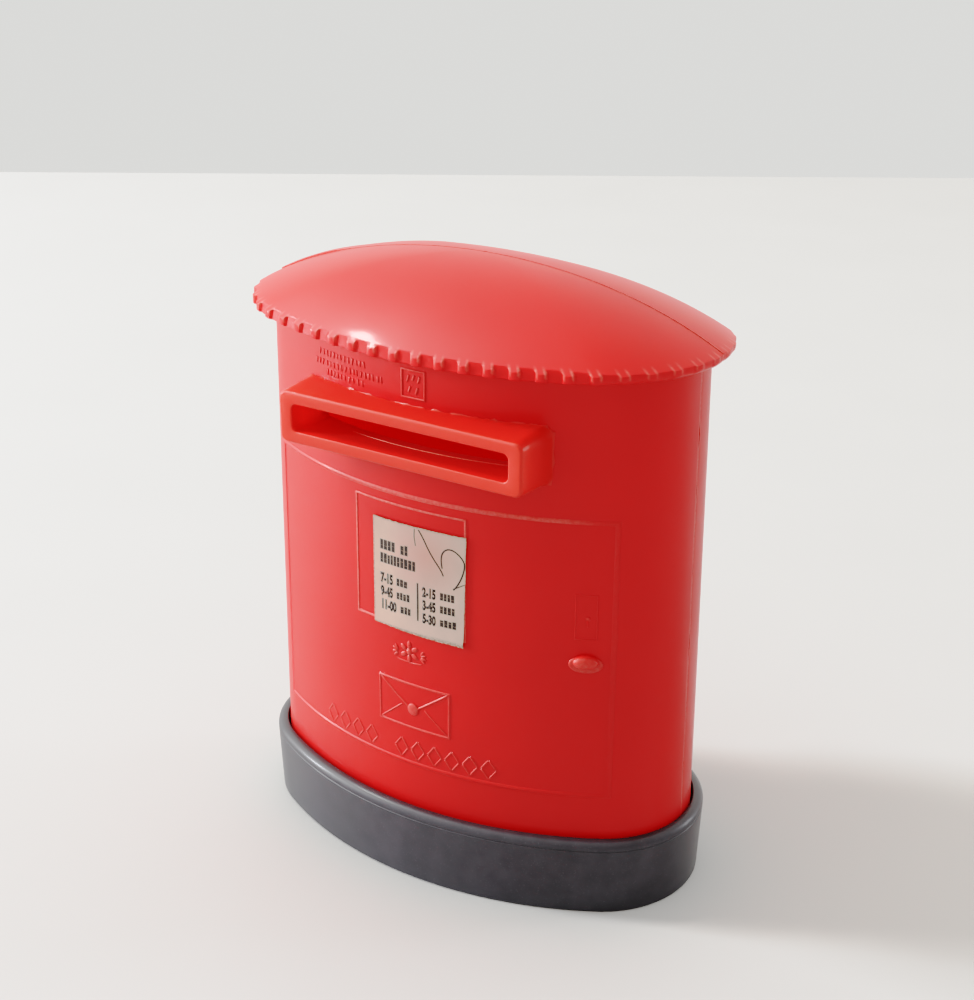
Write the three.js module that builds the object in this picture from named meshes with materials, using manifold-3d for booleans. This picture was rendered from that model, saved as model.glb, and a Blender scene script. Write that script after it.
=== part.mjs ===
/**
 * Oval letter-box money box in moulded plastic.
 *
 * Two red half shells (front and back) are cemented along the X-Z plane. The
 * front one carries a cemented letter hood, whose mouth is the coin slot, and a
 * paper notice. The closed shell stands in a black tray, the plinth, and lifts
 * out of it so that the coins can be tipped out.
 *
 * Millimetres. +Z up, the front faces -Y, origin under the middle of the plinth.
 */
import * as THREE from 'three';
import { mergeVertices } from 'three/addons/utils/BufferGeometryUtils.js';
import Module from 'manifold-3d';

const wasm = await Module();
wasm.setup();

// ---- Driving dimensions -------------------------------------------------

/** Plan of the red body at ledge height: four tangent arcs. */
const BODY_PLAN = { halfWidth: 43, halfDepth: 23.7, endRadius: 17 };
/** Plan of the roof's edge, which overhangs the body most at its ends. */
const ROOF_PLAN = { halfWidth: 46, halfDepth: 25.1, endRadius: 21 };

const WALL = 2.2;
const JOIN_GAP = 0.3;
const SEAM_HALF_GAP = 0.15;
/** Lip inside the back half that locates the front half along the seam. */
const SEAM_LIP = { thickness: 1, reach: 2, bottom: 8 };

const PLINTH_HEIGHT = 15;
const PLINTH_LEDGE = 2.4;
const PLINTH_FOOT_INSET = 0.55;
const PLINTH_SHOULDER = 1.4;
const PLINTH_FLOOR = 2.5;
const PLINTH_BORE_OFFSET = 0.42;
const LOCATING_RIB = { height: 4, thickness: 1.5 };

const EAVES_Z = 100.1;
const BODY_TAPER = 0.8;
const ROOF_BAND = 1.4;
const ROOF_RISE = 12.2;
const ROOF_END_LIFT = 1.7;
/** Ratio of the roof's sphere radius to its half width, which sets its fullness. */
const ROOF_FULLNESS = 1.43;
/** Above 1 the roof narrows in depth faster than in width, towards a ridge. */
const ROOF_RIDGE_POWER = 1.13;

const HOOD_FACE_Y = -27.5;
const HOOD = { halfWidth: 24, bottom: 83, top: 91.8, corner: 1.3, draft: 0.5 };
const MOUTH = { halfWidth: 21.8, bottom: 84.7, top: 89.6, corner: 0.9 };
const HOOD_SPIGOT_WALL = 0.8;

const DOOR = { halfWidth: 35.5, bottom: 23, top: 76.6, bead: 1.1, height: 0.4 };
const NOTICE_FRAME = { left: -12, right: 11.2, bottom: 50.6, top: 74.2, rib: 0.6, height: 0.25 };
const NOTICE = { left: -8.3, right: 10.9, bottom: 50.2, top: 70.7, lift: 0.35, thickness: 0.2 };
const LOCK_PLATE = { left: 29.1, right: 32.9, bottom: 54.5, top: 63.2, rib: 0.4, height: 0.25 };
const KNOB = { x: 31.1, z: 49.8, skirt: [2.7, 1.8], skirtHeight: 0.5, dome: [2.1, 1.3], domeHeight: 1.5 };

const ROSETTE = { z: 45.6, radius: 2.5, petals: 6, height: 0.35 };
const ENVELOPE = { halfWidth: 7.6, bottom: 30, top: 39.6, rib: 0.8, height: 0.35 };
const LOZENGE_ROW = { left: -21.5, right: 18.5, z: 26.3, count: 9, size: [1.5, 2], height: 0.3 };

const FRONT_ARC_STEPS = 14;
const END_ARC_STEPS = 14;
const ROOF_RING_STEPS = 8;
/** Just under a quarter turn, so that the roof's last ring isn't a point. */
const ROOF_LAST_ANGLE = THREE.MathUtils.degToRad(88);
/** How far front cutters reach, from outside the hood to inside the wall. */
const CUTTER_NEAR = 6;
const CUTTER_FAR = 40;

// ---- Materials ------------------------------------------------------------

const RED = { color: 0xd8281e, roughness: 0.35, metalness: 0 };
const HOOD_RED = { color: 0xe2321f, roughness: 0.35, metalness: 0 };
const BLACK = { color: 0x3d3739, roughness: 0.5, metalness: 0 };
const PAPER = { color: 0xd8c8b4, roughness: 0.9, metalness: 0 };

// ---- Geometry helpers -----------------------------------------------------

/**
 * Points of a four-arc oval, anticlockwise seen from above, starting at the
 * right-hand end. Each point keeps its outward normal, so that offsets stay
 * parallel.
 */
function ovalOutline({ halfWidth, halfDepth, endRadius }) {
  const endX = halfWidth - endRadius;
  const slack = halfDepth - endRadius;
  const frontY = (endX ** 2 - slack ** 2) / (2 * slack);
  const frontRadius = halfDepth + frontY;
  const turn = Math.atan2(frontY, endX);
  const arcs = [
    { x: endX, y: 0, radius: endRadius, from: -turn, to: turn, steps: END_ARC_STEPS },
    { x: 0, y: -frontY, radius: frontRadius, from: turn, to: Math.PI - turn, steps: FRONT_ARC_STEPS },
    { x: -endX, y: 0, radius: endRadius, from: Math.PI - turn, to: Math.PI + turn, steps: END_ARC_STEPS },
    { x: 0, y: frontY, radius: frontRadius, from: Math.PI + turn, to: 2 * Math.PI - turn, steps: FRONT_ARC_STEPS },
  ];
  return arcs.flatMap((arc) => Array.from({ length: arc.steps }, (_, step) => {
    const angle = arc.from + ((arc.to - arc.from) * step) / arc.steps;
    const normalX = Math.cos(angle);
    const normalY = Math.sin(angle);
    return { x: arc.x + arc.radius * normalX, y: arc.y + arc.radius * normalY, normalX, normalY };
  }));
}

/** One level of an oval prism: the outline pushed out by an offset. */
function ovalRing(outline, offset, z) {
  return outline.map((p) => new THREE.Vector3(p.x + p.normalX * offset, p.y + p.normalY * offset, z));
}

/** Closed geometry through rings of equal length, capped by fans at both ends. */
function loft(rings) {
  const count = rings[0].length;
  const positions = [];
  const triangles = [];
  const centre = (ring) => ring.reduce((sum, p) => sum.add(p), new THREE.Vector3()).divideScalar(count);
  for (const ring of rings) ring.forEach((p) => positions.push(p.x, p.y, p.z));
  const bottom = rings.length * count;
  for (const ring of [rings[0], rings.at(-1)]) positions.push(...centre(ring).toArray());
  for (let j = 0; j < count; j += 1) {
    const next = (j + 1) % count;
    const last = (rings.length - 1) * count;
    triangles.push(bottom, next, j, bottom + 1, last + j, last + next);
    for (let i = 0; i < rings.length - 1; i += 1) {
      const low = i * count;
      const high = low + count;
      triangles.push(low + j, low + next, high + next, low + j, high + next, high + j);
    }
  }
  const geometry = new THREE.BufferGeometry();
  geometry.setAttribute('position', new THREE.Float32BufferAttribute(positions, 3));
  geometry.setIndex(triangles);
  return geometry;
}

/** Solid for cutting and joining, from any closed three.js geometry. */
function solid(geometry) {
  const bare = geometry.clone();
  bare.deleteAttribute('normal');
  bare.deleteAttribute('uv');
  const merged = mergeVertices(bare, 1e-5);
  const vertProperties = new Float32Array(merged.attributes.position.array);
  const triVerts = new Uint32Array(merged.index.array);
  return new wasm.Manifold(new wasm.Mesh({ numProp: 3, vertProperties, triVerts }));
}

/** Named mesh from a finished solid. */
function part(name, body, finish) {
  const { vertProperties, triVerts } = body.getMesh();
  const geometry = new THREE.BufferGeometry();
  geometry.setAttribute('position', new THREE.BufferAttribute(vertProperties, 3));
  geometry.setIndex(new THREE.BufferAttribute(triVerts, 1));
  geometry.computeVertexNormals();
  const mesh = new THREE.Mesh(geometry, new THREE.MeshStandardMaterial(finish));
  mesh.name = name;
  return mesh;
}

function rectangle(left, right, bottom, top) {
  const shape = new THREE.Shape();
  shape.moveTo(left, bottom).lineTo(right, bottom).lineTo(right, top).lineTo(left, top);
  shape.closePath();
  return shape;
}

function roundedRectangle({ halfWidth, bottom, top, corner }, grow = 0) {
  const right = halfWidth + grow;
  const low = bottom - grow;
  const high = top + grow;
  const radius = corner + Math.max(grow, 0);
  const shape = new THREE.Shape();
  shape.absarc(right - radius, high - radius, radius, 0, Math.PI / 2);
  shape.absarc(radius - right, high - radius, radius, Math.PI / 2, Math.PI);
  shape.absarc(radius - right, low + radius, radius, Math.PI, 1.5 * Math.PI);
  shape.absarc(right - radius, low + radius, radius, 1.5 * Math.PI, 2 * Math.PI);
  return shape;
}

/** Rectangular frame of ribs, as a shape with a hole. */
function frameShape({ left, right, bottom, top, rib }) {
  const shape = rectangle(left, right, bottom, top);
  shape.holes.push(rectangle(left + rib, right - rib, bottom + rib, top - rib));
  return shape;
}

/** Extrudes an X-Z shape towards the front, from y = -near to y = -far. */
function frontBlock(shape, near = CUTTER_NEAR, far = CUTTER_FAR) {
  const options = { depth: far - near, bevelEnabled: false, curveSegments: 6 };
  const geometry = new THREE.ExtrudeGeometry(shape, options);
  geometry.rotateX(Math.PI / 2);
  geometry.translate(0, -near, 0);
  return solid(geometry);
}

/** Everything above a level between two planes across the depth, as a box. */
function slab(fromY, toY, bottom = -1) {
  const size = 300;
  const geometry = new THREE.BoxGeometry(size, toY - fromY, size);
  geometry.translate(0, (fromY + toY) / 2, bottom + size / 2);
  return solid(geometry);
}

// ---- The red shell --------------------------------------------------------

const bodyOutline = ovalOutline(BODY_PLAN);
const roofOutline = ovalOutline(ROOF_PLAN);
const shellBottom = PLINTH_FLOOR + JOIN_GAP;

/** The body's outer wall leans in slightly towards the eaves. */
function bodyOffset(z) {
  return (-BODY_TAPER * (z - PLINTH_HEIGHT)) / (EAVES_Z - PLINTH_HEIGHT);
}

/** Solid prism that follows the body's wall at a given distance from it. */
function bodyPrism(offset, bottom, top) {
  const levels = [bottom, top];
  return solid(loft(levels.map((z) => ovalRing(bodyOutline, offset + bodyOffset(z), z))));
}

/** Height of the roof, from 0 at its edge to 1 at its crown. */
function roofHeight(scale) {
  const edge = Math.sqrt(ROOF_FULLNESS ** 2 - 1);
  return (Math.sqrt(ROOF_FULLNESS ** 2 - scale ** 2) - edge) / (ROOF_FULLNESS - edge);
}

/** One level of the roof: its plan drawn in towards the crown. */
function roofRing(scale, z, inset = 0) {
  return roofOutline.map((p) => {
    const x = (p.x - p.normalX * inset) * scale;
    const y = (p.y - p.normalY * inset) * scale ** ROOF_RIDGE_POWER;
    return new THREE.Vector3(x, y, z + ROOF_END_LIFT * (x / ROOF_PLAN.halfWidth) ** 2);
  });
}

/** Roof solid from a base level up, lowered and drawn in by a skin thickness. */
function roofSolid(base, skin = 0) {
  const edgeZ = EAVES_Z + ROOF_BAND - skin;
  const rings = [roofRing(1, base, skin)];
  for (let step = 0; step <= ROOF_RING_STEPS; step += 1) {
    const scale = Math.cos((step / ROOF_RING_STEPS) * ROOF_LAST_ANGLE);
    rings.push(roofRing(scale, edgeZ + ROOF_RISE * roofHeight(scale), skin));
  }
  return solid(loft(rings));
}

/** Hollow red shell, both halves together, without its raised work. */
function hollowShell() {
  const outside = bodyPrism(0, shellBottom, EAVES_Z + ROOF_END_LIFT).add(roofSolid(EAVES_Z));
  return outside.subtract(cavity());
}

/** The space inside the shell, at a given depth under its outer skin. */
function cavity(skin = WALL) {
  return bodyPrism(-skin, 0, EAVES_Z + ROOF_RISE * 2).intersect(roofSolid(0, skin));
}

/** Raised work on the front wall: the part of a shape within a thin skin. */
function raised(shape, height) {
  const skin = bodyPrism(height, shellBottom, EAVES_Z);
  return frontBlock(shape).intersect(skin);
}

function doorBead() {
  const { halfWidth, ...rest } = DOOR;
  const shape = frameShape({ left: -halfWidth, right: halfWidth, rib: DOOR.bead, ...rest });
  return raised(shape, DOOR.height);
}

function ellipse(x, z, [radiusX, radiusZ]) {
  const shape = new THREE.Shape();
  shape.absellipse(x, z, radiusX, radiusZ, 0, 2 * Math.PI);
  return shape;
}

function knob() {
  const skirt = raised(ellipse(KNOB.x, KNOB.z, KNOB.skirt), KNOB.skirtHeight);
  const boss = raised(ellipse(KNOB.x, KNOB.z, KNOB.dome), KNOB.domeHeight);
  return skirt.add(boss);
}

/** Plain six-petal flower between the notice and the envelope. */
function rosette() {
  const shape = new THREE.Shape();
  const points = ROSETTE.petals * 4;
  for (let i = 0; i < points; i += 1) {
    const angle = (i / points) * 2 * Math.PI;
    const reach = ROSETTE.radius * (0.8 + 0.2 * Math.cos(ROSETTE.petals * angle));
    const point = [reach * Math.cos(angle), ROSETTE.z + reach * Math.sin(angle)];
    if (i === 0) shape.moveTo(...point);
    else shape.lineTo(...point);
  }
  shape.closePath();
  return raised(shape, ROSETTE.height);
}

/** Outlined envelope with its flap, the plain sign on the door. */
function envelope() {
  const { halfWidth, bottom, top, rib, height } = ENVELOPE;
  const frame = raised(frameShape({ left: -halfWidth, right: halfWidth, bottom, top, rib }), height);
  const fold = (bottom + top) / 2 - rib;
  const flap = new THREE.Shape();
  flap.moveTo(-halfWidth, top).lineTo(-halfWidth, top - rib).lineTo(0, fold);
  flap.lineTo(halfWidth, top - rib).lineTo(halfWidth, top).lineTo(0, fold + rib);
  flap.closePath();
  return frame.add(raised(flap, height));
}

/** Row of raised lozenges along the foot of the door. */
function lozengeRow() {
  const { left, right, z, count, size: [halfX, halfZ], height } = LOZENGE_ROW;
  const pitch = (right - left - 2 * halfX) / (count - 1);
  const pieces = Array.from({ length: count }, (_, i) => {
    const x = left + halfX + i * pitch;
    const shape = new THREE.Shape();
    shape.moveTo(x - halfX, z).lineTo(x, z - halfZ).lineTo(x + halfX, z).lineTo(x, z + halfZ);
    shape.closePath();
    return raised(shape, height);
  });
  return pieces.reduce((sum, piece) => sum.add(piece));
}

function frontShell() {
  const detail = [
    doorBead(),
    raised(frameShape(NOTICE_FRAME), NOTICE_FRAME.height),
    raised(frameShape(LOCK_PLATE), LOCK_PLATE.height),
    knob(),
    rosette(),
    envelope(),
    lozengeRow(),
  ].reduce((sum, piece) => sum.add(piece)).subtract(bodyPrism(-WALL / 2, 0, EAVES_Z * 2));
  const slot = frontBlock(roundedRectangle(MOUTH, HOOD_SPIGOT_WALL + JOIN_GAP));
  const front = slab(-BODY_PLAN.halfWidth * 2, -SEAM_HALF_GAP);
  const half = hollowShell().intersect(front).add(detail).subtract(slot);
  return part('front_shell', half, RED);
}

/** Lip that grows from the back half's wall and passes behind the front half. */
function seamLip() {
  const { thickness, reach, bottom } = SEAM_LIP;
  const core = cavity(WALL + JOIN_GAP + thickness);
  const free = cavity(WALL + JOIN_GAP).intersect(slab(-reach, SEAM_HALF_GAP, bottom));
  const root = cavity(WALL - JOIN_GAP).intersect(slab(SEAM_HALF_GAP, reach, bottom));
  return free.add(root).subtract(core);
}

function backShell() {
  const back = slab(SEAM_HALF_GAP, BODY_PLAN.halfWidth * 2);
  return part('back_shell', hollowShell().intersect(back).add(seamLip()), RED);
}

// ---- The letter hood ------------------------------------------------------

/** The hood's block, a little deeper at the wall than at its face. */
function hoodBlock() {
  const rootY = HOOD_FACE_Y / 2;
  const levels = [[rootY, HOOD.draft], [HOOD_FACE_Y, 0]];
  const rings = levels.map(([y, grow]) => {
    const points = roundedRectangle(HOOD, 0).extractPoints(5).shape.slice(0, -1);
    const middle = (HOOD.bottom + HOOD.top) / 2;
    const stretch = 1 + grow / (HOOD.top - middle);
    return points.map((p) => new THREE.Vector3(p.x, y, middle + (p.y - middle) * stretch));
  });
  return solid(loft(rings));
}

function letterHood() {
  const outside = hoodBlock().subtract(bodyPrism(JOIN_GAP, 0, EAVES_Z * 2));
  const spigotNear = CUTTER_NEAR;
  const spigotFar = -HOOD_FACE_Y - WALL / 2;
  const spigot = frontBlock(roundedRectangle(MOUTH, HOOD_SPIGOT_WALL), spigotNear, spigotFar);
  const tube = outside.add(spigot.subtract(cavity())).subtract(frontBlock(roundedRectangle(MOUTH)));
  return part('letter_hood', tube, HOOD_RED);
}

// ---- The notice and the plinth ----------------------------------------------

function noticeLabel() {
  const { left, right, bottom, top, lift, thickness } = NOTICE;
  const sheet = frontBlock(rectangle(left, right, bottom, top));
  const skin = bodyPrism(lift + thickness, 0, EAVES_Z).subtract(bodyPrism(lift, -1, EAVES_Z + 1));
  return part('notice_label', sheet.intersect(skin), PAPER);
}

/** Tray with a rounded top edge and a low rib that fits inside the shell. */
function plinth() {
  const shoulderZ = PLINTH_HEIGHT - PLINTH_SHOULDER;
  const levels = [[0, PLINTH_LEDGE - PLINTH_FOOT_INSET], [shoulderZ, PLINTH_LEDGE]];
  for (const degrees of [30, 60, 90]) {
    const angle = THREE.MathUtils.degToRad(degrees);
    const inset = PLINTH_SHOULDER * (1 - Math.cos(angle));
    levels.push([shoulderZ + PLINTH_SHOULDER * Math.sin(angle), PLINTH_LEDGE - inset]);
  }
  const block = solid(loft(levels.map(([z, offset]) => ovalRing(bodyOutline, offset, z))));
  const straight = (offset, bottom, top) => solid(loft([bottom, top].map((z) => ovalRing(bodyOutline, offset, z))));
  const tray = block.subtract(straight(PLINTH_BORE_OFFSET, PLINTH_FLOOR, PLINTH_HEIGHT * 2));
  const ribOffset = -WALL - JOIN_GAP;
  const ribTop = PLINTH_FLOOR + LOCATING_RIB.height;
  const rib = straight(ribOffset, PLINTH_FLOOR / 2, ribTop);
  const ribCore = straight(ribOffset - LOCATING_RIB.thickness, PLINTH_FLOOR, ribTop * 2);
  return part('plinth', tray.add(rib).subtract(ribCore), BLACK);
}

const moneyBox = new THREE.Group();
moneyBox.name = 'money_box';
moneyBox.add(plinth(), frontShell(), backShell(), letterHood(), noticeLabel());

export default moneyBox;
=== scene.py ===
"""Oval letter-box money box in moulded plastic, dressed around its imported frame.

Two red half shells stand in a black tray. The front half carries a cemented
letter hood and a gummed paper notice. Everything is in metres, in the frame of
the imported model: +Z up, the front faces -Y.
"""
import logging
import math
import random
from dataclasses import dataclass, field
from enum import Enum
from typing import Callable, Iterator, Sequence

import bmesh
import bpy
from mathutils import Matrix, Vector, noise


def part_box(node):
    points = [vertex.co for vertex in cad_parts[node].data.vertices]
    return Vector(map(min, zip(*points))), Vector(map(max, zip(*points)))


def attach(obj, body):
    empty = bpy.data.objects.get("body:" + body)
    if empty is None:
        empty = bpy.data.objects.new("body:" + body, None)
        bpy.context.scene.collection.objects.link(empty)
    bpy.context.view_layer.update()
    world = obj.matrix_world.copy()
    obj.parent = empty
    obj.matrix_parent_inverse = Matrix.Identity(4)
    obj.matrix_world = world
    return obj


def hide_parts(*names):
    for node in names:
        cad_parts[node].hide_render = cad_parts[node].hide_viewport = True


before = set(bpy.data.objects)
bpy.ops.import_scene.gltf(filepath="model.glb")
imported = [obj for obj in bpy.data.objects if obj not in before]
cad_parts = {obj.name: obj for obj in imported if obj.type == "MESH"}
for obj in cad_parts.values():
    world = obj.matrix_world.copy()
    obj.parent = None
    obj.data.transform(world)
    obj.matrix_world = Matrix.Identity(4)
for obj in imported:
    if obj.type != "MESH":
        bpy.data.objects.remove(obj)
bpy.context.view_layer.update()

LOG = logging.getLogger("money_box")
MM = 0.001


class Side(Enum):
    """The half of the box that a shell makes, as the sign of its depth."""

    FRONT = -1
    BACK = 1


class Body(Enum):
    """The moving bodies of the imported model."""

    BASE = "base"
    BOX = "box"


class Slot(Enum):
    """The record's material slots."""

    RED = "red_plastic"
    HOOD = "hood_plastic"
    BLACK = "black_plastic"
    PAPER = "notice_paper"


# ---- Plans and profiles -----------------------------------------------------


@dataclass(frozen=True)
class OvalPlan:
    """A four-arc oval: two end arcs joined by two flatter arcs.

    Args:
        half_width: Reach along X.
        half_depth: Reach along Y.
        end_radius: Radius of the two end arcs.
    """

    half_width: float
    half_depth: float
    end_radius: float

    @property
    def end_centre(self) -> float:
        """Distance of an end arc's centre from the middle."""
        return self.half_width - self.end_radius

    @property
    def long_centre(self) -> float:
        """Distance of a long arc's centre beyond the middle."""
        slack = self.half_depth - self.end_radius
        return (self.end_centre ** 2 - slack ** 2) / (2 * slack)

    @property
    def long_radius(self) -> float:
        """Radius of the two long arcs."""
        return self.half_depth + self.long_centre

    @property
    def turn(self) -> float:
        """Angle of the normal where an end arc meets a long one."""
        return math.atan2(self.long_centre, self.end_centre)

    def half_lap(self) -> float:
        """Length of half the outline."""
        return 2 * self.end_radius * self.turn + self.long_radius * (math.pi - 2 * self.turn)

    def station(self, share: float) -> tuple[Vector, Vector]:
        """Finds a point on the half of the outline with positive Y.

        Args:
            share: Part of the half lap, from 0 at the right end to 1 at the left.

        Returns:
            The point and its outward normal.
        """
        run = share * self.half_lap()
        end_run = self.end_radius * self.turn
        long_run = self.long_radius * (math.pi - 2 * self.turn)
        if run <= end_run:
            angle, centre, radius = run / self.end_radius, (self.end_centre, 0), self.end_radius
        elif run <= end_run + long_run:
            angle = self.turn + (run - end_run) / self.long_radius
            centre, radius = (0, -self.long_centre), self.long_radius
        else:
            angle = math.pi - self.turn + (run - end_run - long_run) / self.end_radius
            centre, radius = (-self.end_centre, 0), self.end_radius
        normal = Vector((math.cos(angle), math.sin(angle)))
        return Vector(centre) + radius * normal, normal

    def front_at(self, x: float) -> tuple[Vector, Vector]:
        """Finds the front of the outline at a place along the width.

        Args:
            x: Place along the width.

        Returns:
            The point and its outward normal, both with negative Y.
        """
        long_reach = self.long_radius * math.cos(self.turn)
        if abs(x) <= long_reach:
            centre, radius = Vector((0, self.long_centre)), self.long_radius
        else:
            centre, radius = Vector((math.copysign(self.end_centre, x), 0)), self.end_radius
        across = max(-1.0, min(1.0, (x - centre.x) / radius))
        normal = Vector((across, -math.sqrt(1 - across ** 2)))
        return centre + radius * normal, normal


def smooth_step(low: float, high: float, value: float) -> float:
    """Rises smoothly from 0 at low to 1 at high."""
    t = max(0.0, min(1.0, (value - low) / (high - low)))
    return t * t * (3 - 2 * t)


def quarter_turns(steps: int) -> Iterator[float]:
    """Yields angles over a quarter turn, without the first, for a rounded edge."""
    for step in range(1, steps + 1):
        yield 0.5 * math.pi * step / steps


# ---- Mesh tools ---------------------------------------------------------------


def deselect_all() -> None:
    """Leaves edit mode and clears the selection."""
    if bpy.context.mode != "OBJECT":
        bpy.ops.object.mode_set(mode="OBJECT")
    bpy.ops.object.select_all(action="DESELECT")


def activate(obj: bpy.types.Object) -> None:
    """Makes an object the only selected and the active one."""
    deselect_all()
    obj.select_set(True)
    bpy.context.view_layer.objects.active = obj


def add_modifier(obj: bpy.types.Object, kind: str, **settings: object) -> None:
    """Adds a modifier with its settings and applies it.

    Args:
        obj: The object to change.
        kind: The modifier's type.
        **settings: Values for its properties.
    """
    activate(obj)
    modifier = obj.modifiers.new(kind.lower(), kind)
    for key, value in settings.items():
        setattr(modifier, key, value)
    bpy.ops.object.modifier_apply(modifier=modifier.name)


def edit_all(obj: bpy.types.Object) -> None:
    """Opens an object for editing, with all of it selected."""
    activate(obj)
    bpy.ops.object.mode_set(mode="EDIT")
    bpy.ops.mesh.select_all(action="SELECT")


def close_edit() -> None:
    """Turns all faces outwards and leaves edit mode."""
    bpy.ops.mesh.select_all(action="SELECT")
    bpy.ops.mesh.normals_make_consistent(inside=False)
    bpy.ops.object.mode_set(mode="OBJECT")


def smooth(obj: bpy.types.Object, degrees: float = 35.0) -> None:
    """Shades an object smoothly, with edges sharper than the angle kept."""
    activate(obj)
    bpy.ops.object.shade_smooth_by_angle(angle=math.radians(degrees))


def join(pieces: Sequence[bpy.types.Object], name: str) -> bpy.types.Object:
    """Joins objects into one.

    Args:
        pieces: The objects, of which the first takes in the others.
        name: The joined object's name.

    Returns:
        The joined object.
    """
    deselect_all()
    for piece in pieces:
        piece.select_set(True)
    bpy.context.view_layer.objects.active = pieces[0]
    bpy.ops.object.join()
    pieces[0].name = name
    return pieces[0]


class Loft:
    """A skin raised ring by ring, each ring extruded from the last one.

    Args:
        name: The object's name.
        ring: The first ring's points.
        closed: Whether the ring closes on itself.
    """

    def __init__(self, name: str, ring: Sequence[Vector], closed: bool = True) -> None:
        """Adds a circle, cuts it open where needed and puts it in place."""
        deselect_all()
        bpy.ops.mesh.primitive_circle_add(vertices=len(ring), radius=1.0)
        self.obj = bpy.context.object
        self.obj.name = name
        self.level = 0
        bpy.ops.object.mode_set(mode="EDIT")
        bpy.ops.mesh.select_mode(type="EDGE")
        edit = bmesh.from_edit_mesh(self.obj.data)
        edit.verts.layers.int.new("column")
        edit.verts.layers.int.new("level")
        edit.verts.ensure_lookup_table()
        column = edit.verts.layers.int["column"]
        for index, vertex in enumerate(edit.verts):
            vertex[column] = index
        if not closed:
            self._cut_open(edit, len(ring) - 1)
        bpy.ops.mesh.select_all(action="SELECT")
        self._place(ring)

    def _cut_open(self, edit: bmesh.types.BMesh, last: int) -> None:
        """Removes the edge between the last and the first point."""
        for edge in edit.edges:
            edge.select = {v.index for v in edge.verts} == {0, last}
        edit.select_flush_mode()
        bmesh.update_edit_mesh(self.obj.data)
        bpy.ops.mesh.delete(type="EDGE")

    def _place(self, ring: Sequence[Vector]) -> None:
        """Moves the selected ring's points to their places."""
        edit = bmesh.from_edit_mesh(self.obj.data)
        column = edit.verts.layers.int["column"]
        level = edit.verts.layers.int["level"]
        for vertex in edit.verts:
            if vertex.select:
                vertex.co = ring[vertex[column]]
                vertex[level] = self.level
        bmesh.update_edit_mesh(self.obj.data)

    def rise(self, ring: Sequence[Vector]) -> None:
        """Extrudes the last ring and places the new one."""
        bpy.ops.mesh.extrude_edges_move()
        self.level += 1
        self._place(ring)

    def cap(self) -> None:
        """Closes the skin with a face over the last ring."""
        bpy.ops.mesh.edge_face_add()

    def cap_start(self) -> None:
        """Closes the skin with a face over the first ring."""
        edit = bmesh.from_edit_mesh(self.obj.data)
        level = edit.verts.layers.int["level"]
        for edge in edit.edges:
            edge.select = all(v[level] == 0 for v in edge.verts)
        edit.select_flush_mode()
        bmesh.update_edit_mesh(self.obj.data)
        bpy.ops.mesh.edge_face_add()

    def close_point(self, place: Vector) -> None:
        """Draws the last ring together into one point."""
        bpy.ops.mesh.merge(type="CENTER")
        edit = bmesh.from_edit_mesh(self.obj.data)
        for vertex in edit.verts:
            if vertex.select:
                vertex.co = place
        bmesh.update_edit_mesh(self.obj.data)

    def finish(self, weld: bool = False) -> bpy.types.Object:
        """Turns the faces outwards and leaves edit mode.

        Args:
            weld: Whether the last ring lies on the first and is welded to it.

        Returns:
            The finished object.
        """
        bpy.ops.mesh.select_all(action="SELECT")
        if weld:
            bpy.ops.mesh.remove_doubles(threshold=0.001 * MM)
        bpy.ops.mesh.normals_make_consistent(inside=False)
        bpy.ops.object.mode_set(mode="OBJECT")
        return self.obj


def sweep(name: str, rings: Sequence[Sequence[Vector]]) -> bpy.types.Object:
    """Raises a skin through closed rings and caps both of its ends.

    Args:
        name: The object's name.
        rings: The rings in order, all with the same number of points.

    Returns:
        The closed object.
    """
    loft = Loft(name, rings[0])
    for ring in rings[1:]:
        loft.rise(ring)
    loft.cap()
    loft.cap_start()
    return loft.finish()


# ---- The wall that everything stands on ---------------------------------------


@dataclass(frozen=True)
class Wall:
    """The red body's outer wall: an oval plan that leans in towards the eaves."""

    plan: OvalPlan = OvalPlan(43 * MM, 23.7 * MM, 17 * MM)
    thickness: float = 2.2 * MM
    ledge_z: float = 15 * MM
    eaves_z: float = 100.1 * MM
    taper: float = 0.8 * MM

    def lean(self, z: float) -> float:
        """Offset of the outer wall from its plan at a height."""
        return -self.taper * (z - self.ledge_z) / (self.eaves_z - self.ledge_z)

    def front(self, x: float, z: float, height: float = 0.0) -> Vector:
        """Finds a point on or above the front wall.

        Args:
            x: Place along the width.
            z: Height above the table.
            height: Distance out from the wall.

        Returns:
            The point in the model's frame.
        """
        point, normal = self.plan.front_at(x)
        place = point + normal * (self.lean(z) + height)
        return Vector((place.x, place.y, z))


WALL = Wall()


# ---- The two half shells ------------------------------------------------------


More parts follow.
